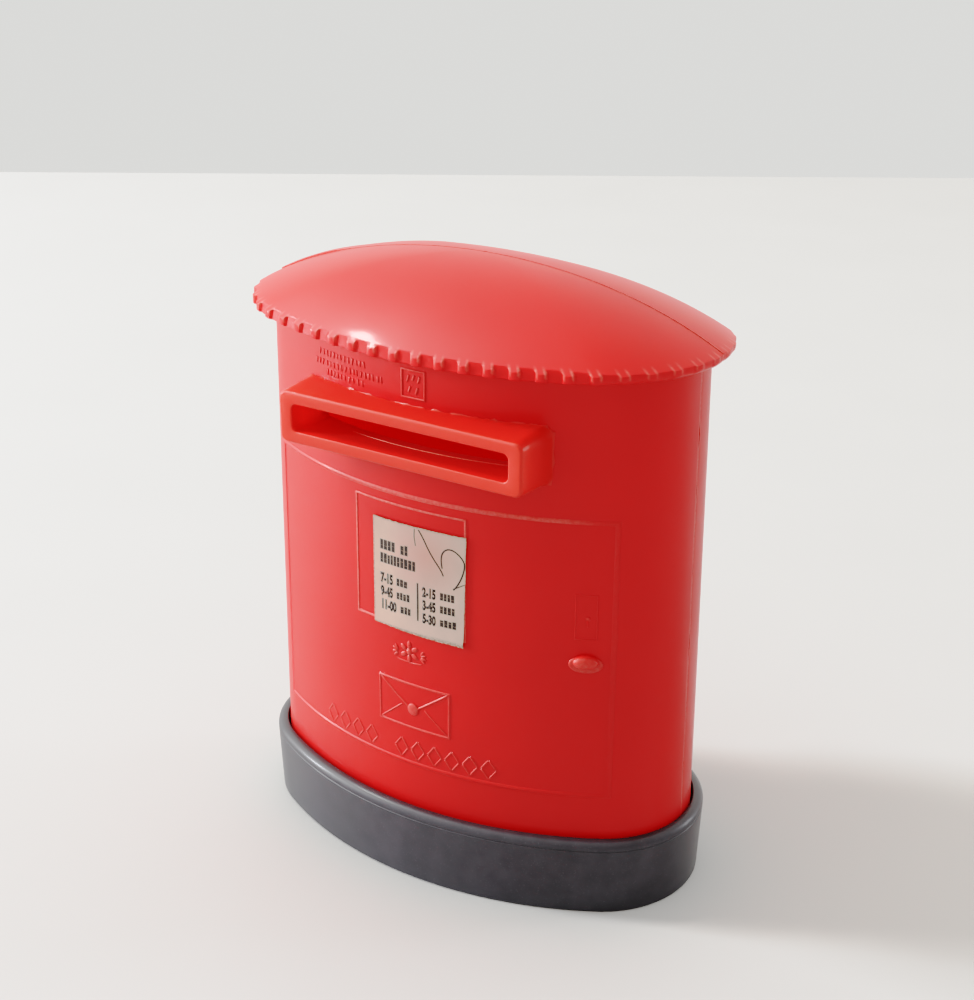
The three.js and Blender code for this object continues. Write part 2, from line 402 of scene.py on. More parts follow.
@dataclass
class ShellHalf:
    """One half of the red box: wall, eaves, scalloped rim and half roof.

    Sizes are in metres. The skin is raised as one grid of columns, which run
    round the half, and levels, which run up the wall and over the roof.
    """

    side: Side
    roof_plan: OvalPlan
    bottom: float
    crown: float
    scallops: int = 26
    columns_per_scallop: int = 12
    flute_foot: float = 0.42 * MM
    flute_lean: float = 0.14
    flute_share: float = 0.62
    flute_edge: float = 0.1
    soft_from: float = 27 * MM
    soft_to: float = 41 * MM
    soft_share: float = 0.7
    rim_round: float = 0.9 * MM
    rim_ease_limit: float = 0.6 * MM
    band: float = 1.4 * MM
    end_lift: float = 1.7 * MM
    end_step: float = 0.0
    step_from: float = 27 * MM
    step_to: float = 36 * MM
    spring: float = 3.2 * MM
    fullness: float = 1.43
    ridge_power: float = 1.13
    # Band above the rim's lower edge where the teeth's top corners take a painted highlight.
    glint_from: float = 0.6 * MM
    glint_middle: float = 1.5 * MM
    glint_to: float = 2.6 * MM
    glint_core: float = 0.3 * MM
    glint_reach: float = 1.1 * MM
    seam_gap: float = 0.03 * MM
    seam_ease: float = 0.05 * MM
    flash: float = 0.1 * MM
    slot_hole: tuple[float, float, float] | None = None
    wall_levels: int = 64
    roof_levels: int = 30
    seed: int = 3
    outer: list[list[Vector]] = field(default_factory=list)
    inner: list[list[Vector]] = field(default_factory=list)

    @property
    def columns(self) -> int:
        """Number of columns round the half, both seam edges included."""
        return self.scallops * self.columns_per_scallop + 1

    def roof_height(self, scale: float) -> float:
        """Height of the roof, from 0 at its edge to 1 at its crown."""
        edge = math.sqrt(self.fullness ** 2 - 1)
        return (math.sqrt(self.fullness ** 2 - scale ** 2) - edge) / (self.fullness - edge)

    def flute(self, column: int, height: float) -> float:
        """Depth of the upright flutes cut between the rim's teeth.

        Args:
            column: The column round the half.
            height: Height above the rim's lower edge.

        Returns:
            How far a flute's face stands in from the rim's outline.
        """
        phase = (column / self.columns_per_scallop + 0.5) % 1.0
        off = abs(2 * phase - 1)
        low, high = self.flute_share - self.flute_edge, self.flute_share + self.flute_edge
        return (1 - smooth_step(low, high, off)) * self.flute_depth(column, height)

    def flute_depth(self, column: int, height: float) -> float:
        """Full depth of a flute, which dies away where the rim is soft."""
        full = self.flute_foot + self.flute_lean * height
        return (1 - self.soft_share * self.softness(column)) * full

    def softness(self, column: int) -> float:
        """How far the rim is rounded over: fully at its right end, nowhere on the left."""
        place = self.roof_plan.station(column / (self.columns - 1))[0]
        return smooth_step(self.soft_from, self.soft_to, place.x)

    def plan_point(self, plan: OvalPlan, column: int, offset: float) -> Vector:
        """A column's place on a plan, pushed out by an offset, on this half's side."""
        point, normal = plan.station(column / (self.columns - 1))
        place = point + normal * offset
        return Vector((place.x, self.side.value * max(place.y, 0.0)))

    def lifted(self, x: float, z: float) -> float:
        """Raises a level of the roof towards its ends, with a small step at the left one."""
        step = self.end_step * smooth_step(self.step_from, self.step_to, -x)
        return z + step + self.end_lift * (x / self.roof_plan.half_width) ** 2

    def seam_edge(self, column: int, level: int) -> float:
        """Offset of a seam edge: eased inwards, with stray flash standing out."""
        if column not in (0, self.columns - 1):
            return 0.0
        where = Vector((column * 0.37, level * 0.31, self.seed))
        return -self.seam_ease + self.flash * max(0.0, noise.noise(where) - 0.1) * 2.2

    def keep_off_seam(self, place: Vector) -> Vector:
        """Keeps a point on this half's side of the seam."""
        side = self.side.value
        place.y = side * max(side * place.y, self.seam_gap)
        return place

    def add_level(self, outside: Callable[[int], Vector], inside: Callable[[int], Vector]) -> None:
        """Adds one level of the grid from functions of the column."""
        self.outer.append([self.keep_off_seam(outside(c)) for c in range(self.columns)])
        self.inner.append([self.keep_off_seam(inside(c)) for c in range(self.columns)])

    def wall_point(self, column: int, z: float, offset: float) -> Vector:
        """A point on the wall at a height."""
        flat = self.plan_point(WALL.plan, column, WALL.lean(z) + offset)
        return Vector((flat.x, flat.y, z))

    def ceiling_point(self, column: int, scale: float) -> Vector:
        """A point on the inside of the roof, which springs from the inner wall."""
        flat = self.plan_point(WALL.plan, column, WALL.lean(WALL.eaves_z) - WALL.thickness)
        x = flat.x * scale
        y = flat.y * scale ** self.ridge_power
        spring = WALL.eaves_z + self.spring
        rise = self.crown - WALL.thickness - spring
        return Vector((x, y, self.lifted(x, spring + rise * self.roof_height(scale))))

    def roof_point(self, column: int, scale: float, height: float) -> Vector:
        """A point on the outside of the roof, cut back to the flutes near the rim."""
        edge, normal = self.roof_plan.station(column / (self.columns - 1))
        place = Vector((edge.x * scale, edge.y * scale ** self.ridge_power))
        inset = (edge - place).dot(normal)
        place -= normal * max(0.0, self.flute(column, height) - inset)
        place += normal * self.seam_edge(column, 0) * scale
        z = self.lifted(edge.x * scale, WALL.eaves_z + height)
        return Vector((place.x, self.side.value * place.y, z))

    def plan_levels(self) -> None:
        """Works out every level of the grid, from the foot of the wall to the crown."""
        for step in range(self.wall_levels + 1):
            z = self.bottom + (WALL.eaves_z - self.bottom) * step / self.wall_levels
            self.add_level(
                lambda c, z=z, n=step: self.wall_point(c, z, self.seam_edge(c, n)),
                lambda c, z=z: self.wall_point(c, z, -WALL.thickness),
            )
        for share in (0.3, 0.75):
            self.add_level(
                lambda c, s=share: self.under_eaves(c, s),
                lambda c, s=share: self.wall_point(c, WALL.eaves_z + s * MM, -WALL.thickness),
            )
        for height in (0.0, 0.12, 0.45, 0.9, 1.4):
            self.add_level(
                lambda c, h=height * MM: self.rim_point(c, h, self.rim_ease(c, h)),
                lambda c, h=height: self.wall_point(c, WALL.eaves_z + (1 + h) * MM, -WALL.thickness),
            )
        for scale in self.roof_scales():
            height = self.band + (self.crown - WALL.eaves_z - self.band) * self.roof_height(scale)
            self.add_level(
                lambda c, s=scale, h=height: self.roof_point(c, s, h),
                lambda c, s=scale: self.ceiling_point(c, s),
            )

    def roof_scales(self) -> Iterator[float]:
        """Yields the roof's levels as scales, close together where flutes end."""
        near = [1 - 0.0035 * step for step in range(1, 21)]
        yield from near
        first = math.acos(near[-1])
        for step in range(1, self.roof_levels):
            yield math.cos(first + (math.radians(89) - first) * step / (self.roof_levels - 1))

    def under_eaves(self, column: int, share: float) -> Vector:
        """A point on the flat underside of the eaves, between wall and rim."""
        wall = self.wall_point(column, WALL.eaves_z, 0.0)
        rim = self.rim_point(column, 0.0, 0.35 * MM)
        return wall.lerp(rim, share)

    def rim_ease(self, column: int, height: float) -> float:
        """How far the rim's lower corner is eased back: a little, or a round where it is soft."""
        small = 0.12 * MM if height == 0.0 else 0.0
        drop = max(0.0, self.rim_round - height)
        full = self.rim_round - math.sqrt(self.rim_round ** 2 - drop ** 2)
        return small + (min(full, self.rim_ease_limit) - small) * self.softness(column)

    def rim_point(self, column: int, height: float, ease: float) -> Vector:
        """A point on the upright band of the scalloped rim."""
        offset = self.seam_edge(column, 0) - self.flute(column, height) - ease
        flat = self.plan_point(self.roof_plan, column, offset)
        return Vector((flat.x, flat.y, self.lifted(flat.x, WALL.eaves_z + height)))

    def cut_slot_hole(self, obj: bpy.types.Object) -> None:
        """Opens the wall behind the hood."""
        half_width, low, high = self.slot_hole
        activate(obj)
        bpy.ops.object.mode_set(mode="EDIT")
        bpy.ops.mesh.select_mode(type="FACE")
        bpy.ops.mesh.select_all(action="DESELECT")
        edit = bmesh.from_edit_mesh(obj.data)
        for face in edit.faces:
            middle = face.calc_center_median()
            face.select = abs(middle.x) < half_width and low < middle.z < high
        bmesh.update_edit_mesh(obj.data)
        bpy.ops.mesh.delete(type="FACE")
        bpy.ops.object.mode_set(mode="OBJECT")

    def face_outwards(self, obj: bpy.types.Object) -> None:
        """Turns the open skin's faces away from the middle of the box."""
        face = obj.data.polygons[len(obj.data.polygons) // 4]
        middle = Vector((0, 0, face.center.z))
        if face.normal.dot(face.center - middle) < 0:
            edit_all(obj)
            bpy.ops.mesh.flip_normals()
            bpy.ops.object.mode_set(mode="OBJECT")

    def thicken(self, obj: bpy.types.Object) -> None:
        """Gives the skin its inner side, level by level."""
        count = len(obj.data.vertices)
        add_modifier(obj, "SOLIDIFY", thickness=WALL.thickness, offset=-1.0, use_rim=True)
        mesh = obj.data
        mesh.attributes.new("inside", "FLOAT", "POINT")
        highlight_paint = mesh.attributes.new("highlight_paint", "FLOAT", "POINT").data
        inside = mesh.attributes["inside"].data
        column = mesh.attributes["column"].data
        level = mesh.attributes["level"].data
        crown = Vector((0, self.side.value * self.seam_gap, self.crown - WALL.thickness))
        for index in range(count):
            # Outer points store how much painted highlight they take.
            highlight_paint[index].value = self.highlight_share(column[index].value, mesh.vertices[index].co)
        for index in range(count, len(mesh.vertices)):
            inside[index].value = 1.0
            row = level[index].value
            last = row >= len(self.inner)
            mesh.vertices[index].co = crown if last else self.inner[row][column[index].value]
        mesh.update()

    def highlight_share(self, column: int, place: Vector) -> float:
        """How much painted highlight a point takes: most on the teeth's top corners, some along the seam.
        """
        height = place.z - self.lifted(place.x, WALL.eaves_z)
        corner = 0.0
        # Painted highlight on the teeth's top corners.
        if self.glint_from < height < self.glint_to:
            share = self.flute(column, height) / self.flute_depth(column, height)
            near = 1 - smooth_step(self.glint_core, self.glint_reach, abs(height - self.glint_middle))
            corner = near * (1 - abs(2 * share - 0.7)) if 0.02 < share < 0.85 else 0.0
        # Painted highlight: a pale line along the seam.
        seam = 0.5 if column in (0, self.columns - 1) else 0.0
        return max(0.0, corner * (1 - 0.4 * self.softness(column)), seam)

    def build(self) -> bpy.types.Object:
        """Builds the half shell.

        Returns:
            The finished, closed shell.
        """
        self.plan_levels()
        name = f"{self.side.name.lower()}_shell_moulding"
        loft = Loft(name, self.outer[0], closed=False)
        for ring in self.outer[1:]:
            loft.rise(ring)
        loft.rise(self.outer[-1])
        loft.close_point(Vector((0, self.side.value * self.seam_gap, self.crown)))
        obj = loft.finish()
        self.face_outwards(obj)
        if self.slot_hole:
            self.cut_slot_hole(obj)
        self.thicken(obj)
        smooth(obj, 32)
        return obj


@dataclass
class SeamLip:
    """The thin lip inside the back half that reaches across the seam.

    Args:
        shell: The back half, whose inner levels the lip follows.
    """

    shell: ShellHalf
    start_z: float = 8 * MM
    reach: float = 1.95 * MM
    thickness: float = 1.0 * MM
    slack: float = 0.12 * MM
    tail: float = 3 * MM

    def path(self) -> list[Vector]:
        """The inside of the shell along the seam, from the right foot over to the left one."""
        right = [level[0] for level in self.shell.inner if level[0].z >= self.start_z]
        left = [level[-1] for level in self.shell.inner if level[-1].z >= self.start_z]
        return right[::2] + left[::-2]

    def build(self) -> bpy.types.Object:
        """Sweeps the lip's section along the path."""
        path = self.path()
        rings = []
        for index, place in enumerate(path):
            ahead = path[min(index + 1, len(path) - 1)] - path[max(index - 1, 0)]
            inward = Vector((-ahead.z, 0, ahead.x)).normalized()
            section = (
                (self.slack, -self.reach), (self.thickness, -self.reach), (self.thickness, self.tail),
                (-0.4 * MM, self.tail), (-0.4 * MM, 0.3 * MM), (self.slack, 0.1 * MM),
            )
            rings.append([Vector((place.x, y, place.z)) + inward * depth for depth, y in section])
        return sweep("seam_lip", rings)


# ---- The letter hood -----------------------------------------------------------


def rounded_rectangle(half_x: float, low: float, high: float, radius: float) -> list[tuple[float, float]]:
    """Lays points round a rounded rectangle, close together along its long sides.

    Args:
        half_x: Half its width.
        low: Height of its lower side.
        high: Height of its upper side.
        radius: Radius of its corners.

    Returns:
        The points as pairs of width and height, anticlockwise from the lower left.
    """
    long_steps, short_steps, corner_steps = 72, 5, 6
    points = []
    corners = (
        (half_x - radius, low + radius, -90), (half_x - radius, high - radius, 0),
        (-half_x + radius, high - radius, 90), (-half_x + radius, low + radius, 180),
    )
    steps = (long_steps, short_steps, long_steps, short_steps)
    for index, (x, z, start) in enumerate(corners):
        turns = [math.radians(start + 90 * step / corner_steps) for step in range(corner_steps + 1)]
        points += [(x + radius * math.cos(turn), z + radius * math.sin(turn)) for turn in turns]
        next_x, next_z, next_start = corners[(index + 1) % 4]
        turn = math.radians(next_start)
        goal = (next_x + radius * math.cos(turn), next_z + radius * math.sin(turn))
        last = points[-1]
        count = steps[(index + 1) % 4]
        for step in range(1, count):
            share = step / count
            points.append((last[0] + (goal[0] - last[0]) * share, last[1] + (goal[1] - last[1]) * share))
    return points


@dataclass
class LetterHood:
    """The hood round the letter slot: a separate moulding cemented on the wall."""

    face_y: float = -27.5 * MM
    half_width: float = 24.5 * MM
    low: float = 82.4 * MM
    high: float = 91.8 * MM
    corner: float = 1.5 * MM
    draft: float = 0.45 * MM
    edge: float = 0.55 * MM
    mouth_half_width: float = 21.8 * MM
    mouth_low: float = 84.7 * MM
    mouth_high: float = 89.6 * MM
    mouth_corner: float = 1.0 * MM
    mouth_edge: float = 0.3 * MM
    spigot_wall: float = 0.8 * MM
    cement: float = 0.28 * MM

    def outline(self, grow: float) -> list[tuple[float, float]]:
        """The hood's outline, grown all round."""
        radius = max(self.corner + grow, 0.2 * MM)
        return rounded_rectangle(self.half_width + grow, self.low - grow, self.high + grow, radius)

    def mouth(self, grow: float) -> list[tuple[float, float]]:
        """The mouth's outline, grown all round."""
        half, radius = self.mouth_half_width + grow, self.mouth_corner + grow
        return rounded_rectangle(half, self.mouth_low - grow, self.mouth_high + grow, radius)

    def at_wall(self, outline: list[tuple[float, float]], height: float) -> list[Vector]:
        """Lays an outline on the curved wall, at a distance out from it."""
        return [Vector((x, WALL.front(x, z).y - height, z)) for x, z in outline]

    def flat(self, outline: list[tuple[float, float]], y: float) -> list[Vector]:
        """Lays an outline in a plane across the depth."""
        return [Vector((x, y, z)) for x, z in outline]

    def cement_bead(self, height: float, spread: float, seed: float) -> list[Vector]:
        """A ragged ring of cement along the join of hood and wall."""
        ring = []
        for x, z in self.outline(0.0):
            rough = noise.noise(Vector((x * 900, z * 900, seed)))
            fleck = max(0.0, noise.noise(Vector((x * 2600, z * 2600, seed + 4))))
            grow = self.draft + spread * (0.35 + 0.9 * rough + 1.4 * fleck)
            middle = 0.5 * (self.low + self.high)
            out_x = x + grow * max(-1.0, min(1.0, x / self.half_width)) ** 5
            out_z = z + grow * max(-1.0, min(1.0, (z - middle) / (self.high - middle)))
            lift = height * (0.5 + 1.1 * abs(rough) + fleck)
            ring.append(Vector((out_x, WALL.front(out_x, out_z).y - lift, out_z)))
        return ring

    def build(self) -> bpy.types.Object:
        """Builds the hood as one closed tube.

        Returns:
            The hood.
        """
        spigot_back = -(WALL.thickness + 0.05 * MM)
        sunk_root = self.at_wall(self.outline(self.draft), -0.5 * MM)
        loft = Loft("letter_hood_moulding", sunk_root)
        loft.rise(self.cement_bead(0.02 * MM, self.cement * 1.3, 2.0))
        loft.rise(self.cement_bead(0.16 * MM, self.cement * 0.5, 7.0))
        loft.rise(self.at_wall(self.outline(self.draft * 0.95), 0.42 * MM))
        root = self.at_wall(self.outline(self.draft), 0.5 * MM)
        front_y = self.face_y + self.edge
        for share in (0.25, 0.5, 0.75, 1.0):
            outline = self.outline(self.draft * (1 - share))
            loft.rise([
                Vector((x, r.y + (front_y - r.y) * share, z)) for (x, z), r in zip(outline, root)])
        for turn in quarter_turns(5):
            outline = self.outline(-self.edge * (1 - math.cos(turn)))
            loft.rise(self.flat(outline, front_y - self.edge * math.sin(turn)))
        for turn in (0.0, 0.5, 1.0, math.pi / 2):
            outline = self.mouth(self.mouth_edge * (1 - math.sin(turn)))
            loft.rise(self.flat(outline, self.face_y + self.mouth_edge * (1 - math.cos(turn))))
        bore = self.mouth(0.0)
        depth = self.at_wall(bore, spigot_back)
        for share in (0.3, 0.6, 0.97, 1.0):
            ease = 0.15 * MM if share == 1.0 else 0.0
            start = self.face_y + self.mouth_edge
            ring = self.mouth(ease)
            loft.rise([
                Vector((x, start + (d.y - start) * share, z)) for (x, z), d in zip(ring, depth)])
        loft.rise(self.at_wall(self.mouth(self.spigot_wall), spigot_back))
        loft.rise(self.at_wall(self.mouth(self.spigot_wall), -0.5 * MM))
        loft.rise(sunk_root)
        hood = loft.finish(weld=True)
        smooth(hood, 40)
        mark_points(hood, "inside", self.inside)
        mark_points(hood, "highlight_paint", lambda index, place: 0.0)
        return join([hood, self.slot_glint()], hood.name)

    def slot_glint(self) -> bpy.types.Object:
        """A thin rod along the lower edge of the wall's slot, painted pale as a highlight where it shows
        on the floor of the mouth.
        """
        steps, radius, left, length = 60, 0.14 * MM, -13, 33
        rings = []
        for step in range(steps + 1):
            x = (left + length * step / steps) * MM
            middle = WALL.front(x, self.mouth_low) + Vector((0, 0, 0.02 * MM))
            thin = radius * math.sin(math.pi * (0.06 + 0.88 * step / steps)) ** 0.5
            turns = [math.tau * n / 8 for n in range(8)]
            rings.append([middle + Vector((0, thin * math.cos(a), thin * math.sin(a))) for a in turns])
        edge = sweep("slot_glint", rings)
        # Painted highlight: the rod takes nearly the full pale highlight colour.
        mark_points(edge, "highlight_paint", lambda index, place: 0.9)
        return edge

    def inside(self, index: int, place: Vector) -> float:
        """Tells the inside of the mouth and the spigot from the rest."""
        in_mouth = abs(place.x) < self.mouth_half_width + 0.1 * MM
        between = self.mouth_low - 0.1 * MM < place.z < self.mouth_high + 0.1 * MM
        return float(in_mouth and between and place.y > self.face_y + 0.6 * MM)


# ---- The tray that the box stands in ---------------------------------------------


def oval_ring(plan: OvalPlan, offset: float, z: float, count: int) -> list[Vector]:
    """Lays points right round an oval plan, pushed out by an offset."""
    half = count // 2
    ring = []
    for step in range(count):
        point, normal = plan.station((step % half) / half)
        place = (point + normal * offset) * (1 if step < half else -1)
        ring.append(Vector((place.x, place.y, z)))
    return ring


@dataclass
class Plinth:
    """The black tray: a rounded shoulder outside, a locating rib inside."""

    height: float = 15 * MM
    ledge: float = 2.4 * MM
    foot_inset: float = 0.55 * MM
    foot_edge: float = 0.5 * MM
    shoulder: float = 1.4 * MM
    line_z: float = 13.3 * MM
    line_depth: float = 0.1 * MM
    bore: float = 0.42 * MM
    floor: float = 2.5 * MM
    rib_offset: float = -2.5 * MM
    rib_thickness: float = 1.5 * MM
    rib_height: float = 4 * MM
    recess: float = 0.5 * MM
    points: int = 288

    def profile(self) -> list[tuple[float, float]]:
        """The section from the underside's recess round to the floor inside."""
        foot = self.ledge - self.foot_inset
        steps = [
            (foot - 4.2 * MM, self.recess), (foot - 3.6 * MM, self.recess),
            (foot - 3.3 * MM, 0.1 * MM), (foot - 3.1 * MM, 0.0), (foot - self.foot_edge, 0.0),
        ]
        for turn in quarter_turns(4):
            out = self.foot_edge * (1 - math.sin(turn))
            steps.append((foot - out, self.foot_edge * (1 - math.cos(turn))))
        below = self.line_z - 0.16 * MM
        for share in (0.25, 0.5, 0.75, 1.0):
            z = self.foot_edge + (below - self.foot_edge) * share
            steps.append((foot + (self.ledge - foot) * share, z))
        steps += [
            (self.ledge - self.line_depth, self.line_z - 0.06 * MM),
            (self.ledge - self.line_depth, self.line_z + 0.06 * MM),
            (self.ledge - 0.01 * MM, self.line_z + 0.14 * MM),
            (self.ledge, self.height - self.shoulder),
        ]
        for turn in quarter_turns(8):
            out = self.shoulder * (1 - math.cos(turn))
            steps.append((self.ledge - out, self.height - self.shoulder * (1 - math.sin(turn))))
        edge = 0.18 * MM
        for turn in (0.0, 0.5, 1.0, math.pi / 2):
            out = self.bore + edge * (1 - math.sin(turn))
            steps.append((out, self.height - edge * (1 - math.cos(turn))))
        rib_out, rib_in = self.rib_offset, self.rib_offset - self.rib_thickness
        rib_top = self.floor + self.rib_height
        steps += [
            (self.bore, 9 * MM), (self.bore, self.floor + 0.3 * MM), (self.bore - 0.3 * MM, self.floor),
            (rib_out, self.floor), (rib_out, rib_top - 0.2 * MM), (rib_out - 0.2 * MM, rib_top),
            (rib_in + 0.2 * MM, rib_top), (rib_in, rib_top - 0.2 * MM), (rib_in, self.floor + 0.2 * MM),
            (rib_in - 0.2 * MM, self.floor), (rib_in - 3 * MM, self.floor),
        ]
        return steps

    def build(self) -> bpy.types.Object:
        """Builds the tray.

        Returns:
            The tray, closed all round.
        """
        rings = [oval_ring(WALL.plan, offset, z, self.points) for offset, z in self.profile()]
        tray = sweep("plinth_moulding", rings)
        smooth(tray, 40)
        return tray


# ---- Raised motifs on the front wall ----------------------------------------------

SINK = 0.3 * MM
Outline = Sequence[tuple[float, float]]


def plate(outline: Outline, rise: float, edge: float) -> bpy.types.Object:
    """Makes a flat plate with a rounded top edge.

    Args:
        outline: Its points, anticlockwise, as pairs of width and height.
        rise: How far it stands out from the wall.
        edge: Size of its rounded edge.

    Returns:
        The plate, lying flat, with its foot sunk below the wall.
    """
    deselect_all()
    bpy.ops.mesh.primitive_circle_add(vertices=len(outline), radius=1.0, fill_type="NGON")
    obj = bpy.context.object
    for vertex, (x, z) in zip(obj.data.vertices, outline):
        vertex.co = (x, z, -SINK)
    raise_plate(obj, rise, edge)
    return obj


def frame_plate(box: tuple[float, float, float, float], rib: float, rise: float,
                edge: float) -> bpy.types.Object:
    """Makes a flat raised frame.

    Args:
        box: Left, right, bottom and top of its outside.
        rib: Width of its rib.
        rise: How far it stands out from the wall.
        edge: Size of its rounded edges.

    Returns:
        The frame, lying flat, with its foot sunk below the wall.
    """
    left, right, low, high = box
    deselect_all()
    bpy.ops.mesh.primitive_plane_add(size=1.0)
    obj = bpy.context.object
    for vertex in obj.data.vertices:
        x = right if vertex.co.x > 0 else left
        z = high if vertex.co.y > 0 else low
        vertex.co = (x, z, -SINK)
    bpy.ops.object.mode_set(mode="EDIT")
    bpy.ops.mesh.select_mode(type="FACE")
    bpy.ops.mesh.select_all(action="SELECT")
    bpy.ops.mesh.inset(thickness=rib)
    bpy.ops.mesh.delete(type="FACE")
    bpy.ops.object.mode_set(mode="OBJECT")
    raise_plate(obj, rise, edge)
    return obj


def raise_plate(obj: bpy.types.Object, rise: float, edge: float) -> None:
    """Extrudes a flat shape upwards and rounds the edges of its top."""
    activate(obj)
    bpy.ops.object.mode_set(mode="EDIT")
    bpy.ops.mesh.select_mode(type="FACE")
    bpy.ops.mesh.select_all(action="SELECT")
    bpy.ops.mesh.extrude_region_move(TRANSFORM_OT_translate={"value": (0, 0, rise + SINK)})
    edit = bmesh.from_edit_mesh(obj.data)
    top = rise - 0.001 * MM
    bpy.ops.mesh.select_mode(type="EDGE")
    for item in edit.edges:
        sides = [face for face in item.link_faces if abs(face.normal.z) < 0.5]
        item.select = len(sides) == 1 and all(v.co.z > top for v in item.verts)
    edit.select_flush_mode()
    bmesh.update_edit_mesh(obj.data)
    bpy.ops.mesh.bevel(offset=edge, segments=4, profile=0.42, affect="EDGES", clamp_overlap=True)
    close_edit()


def ellipse(x: float, z: float, half: tuple[float, float], turn: float = 0.0, count: int = 20) -> Outline:
    """Lays points round an ellipse, which may be turned by an angle in degrees."""
    spin = math.radians(turn)
    points = []
    for step in range(count):
        angle = 2 * math.pi * step / count
        across, up = half[0] * math.cos(angle), half[1] * math.sin(angle)
        points.append((x + across * math.cos(spin) - up * math.sin(spin),
                       z + across * math.sin(spin) + up * math.cos(spin)))
    return points


def dome(x: float, z: float, half: tuple[float, float], rise: float, turn: float = 0.0,
         count: int = 20, fullness: float = 1.0) -> bpy.types.Object:
    """Makes a rounded boss with an elliptical foot.

    Args:
        x: Its middle along the width.
        z: Its middle above the table.
        half: Its half sizes.
        rise: Its height.
        turn: Its turn in degrees.
        count: Points round it.
        fullness: Above 1 for a flatter top with rounder sides.

    Returns:
        The boss, lying flat.
    """
    foot = [Vector((a, b, -SINK)) for a, b in ellipse(x, z, half, turn, count)]
    loft = Loft("boss", foot)
    steps = 6
    for step in range(steps):
        angle = 0.5 * math.pi * step / steps
        shrink = math.cos(angle) ** (1 / fullness)
        height = rise * math.sin(angle) ** (1 / fullness)
        ring = ellipse(x, z, (half[0] * shrink, half[1] * shrink), turn, count)
        loft.rise([Vector((a, b, height)) for a, b in ring])
    loft.rise([Vector((x, z, rise))] * count)
    loft.close_point(Vector((x, z, rise)))
    loft.cap_start()
    return loft.finish()


def stroke(start: tuple[float, float], end: tuple[float, float], width: float) -> Outline:
    """Lays the outline of a straight rib between two points."""
    run = Vector(end) - Vector(start)
    side = Vector((-run.y, run.x)).normalized() * width / 2
    a, b = Vector(start), Vector(end)
    return [tuple(a - side), tuple(b - side), tuple(b + side), tuple(a + side)]


def copy_piece(source: bpy.types.Object, x: float, z: float) -> bpy.types.Object:
    """Copies a flat piece with its own mesh and moves the copy along the wall."""
    activate(source)
    bpy.ops.object.duplicate(linked=False)
    twin = bpy.context.object
    for vertex in twin.data.vertices:
        vertex.co.x += x
        vertex.co.y += z
    return twin


def cut_across(obj: bpy.types.Object, spacing: float = 1.6 * MM) -> None:
    """Cuts a flat piece into strips, so that it can bend round the wall."""
    xs = [vertex.co.x for vertex in obj.data.vertices]
    cuts = int((max(xs) - min(xs)) / spacing)
    activate(obj)
    bpy.ops.object.mode_set(mode="EDIT")
    for cut in range(1, cuts + 1):
        bpy.ops.mesh.select_all(action="SELECT")
        x = min(xs) + (max(xs) - min(xs)) * cut / (cuts + 1)
        bpy.ops.mesh.bisect(plane_co=(x, 0, 0), plane_no=(1, 0, 0))
    bpy.ops.object.mode_set(mode="OBJECT")


def wrap(obj: bpy.types.Object) -> None:
    """Lays a flat piece round the front wall: its Z becomes distance from the wall."""
    for vertex in obj.data.vertices:
        vertex.co = WALL.front(vertex.co.x, vertex.co.y, vertex.co.z)
    obj.data.update()


def lay_on_wall(pieces: Sequence[bpy.types.Object], name: str, degrees: float = 50.0) -> bpy.types.Object:
    """Joins flat pieces into one, cuts it into strips and wraps it round the wall."""
    obj = join(pieces, name)
    cut_across(obj)
    wrap(obj)
    smooth(obj, degrees)
    return obj


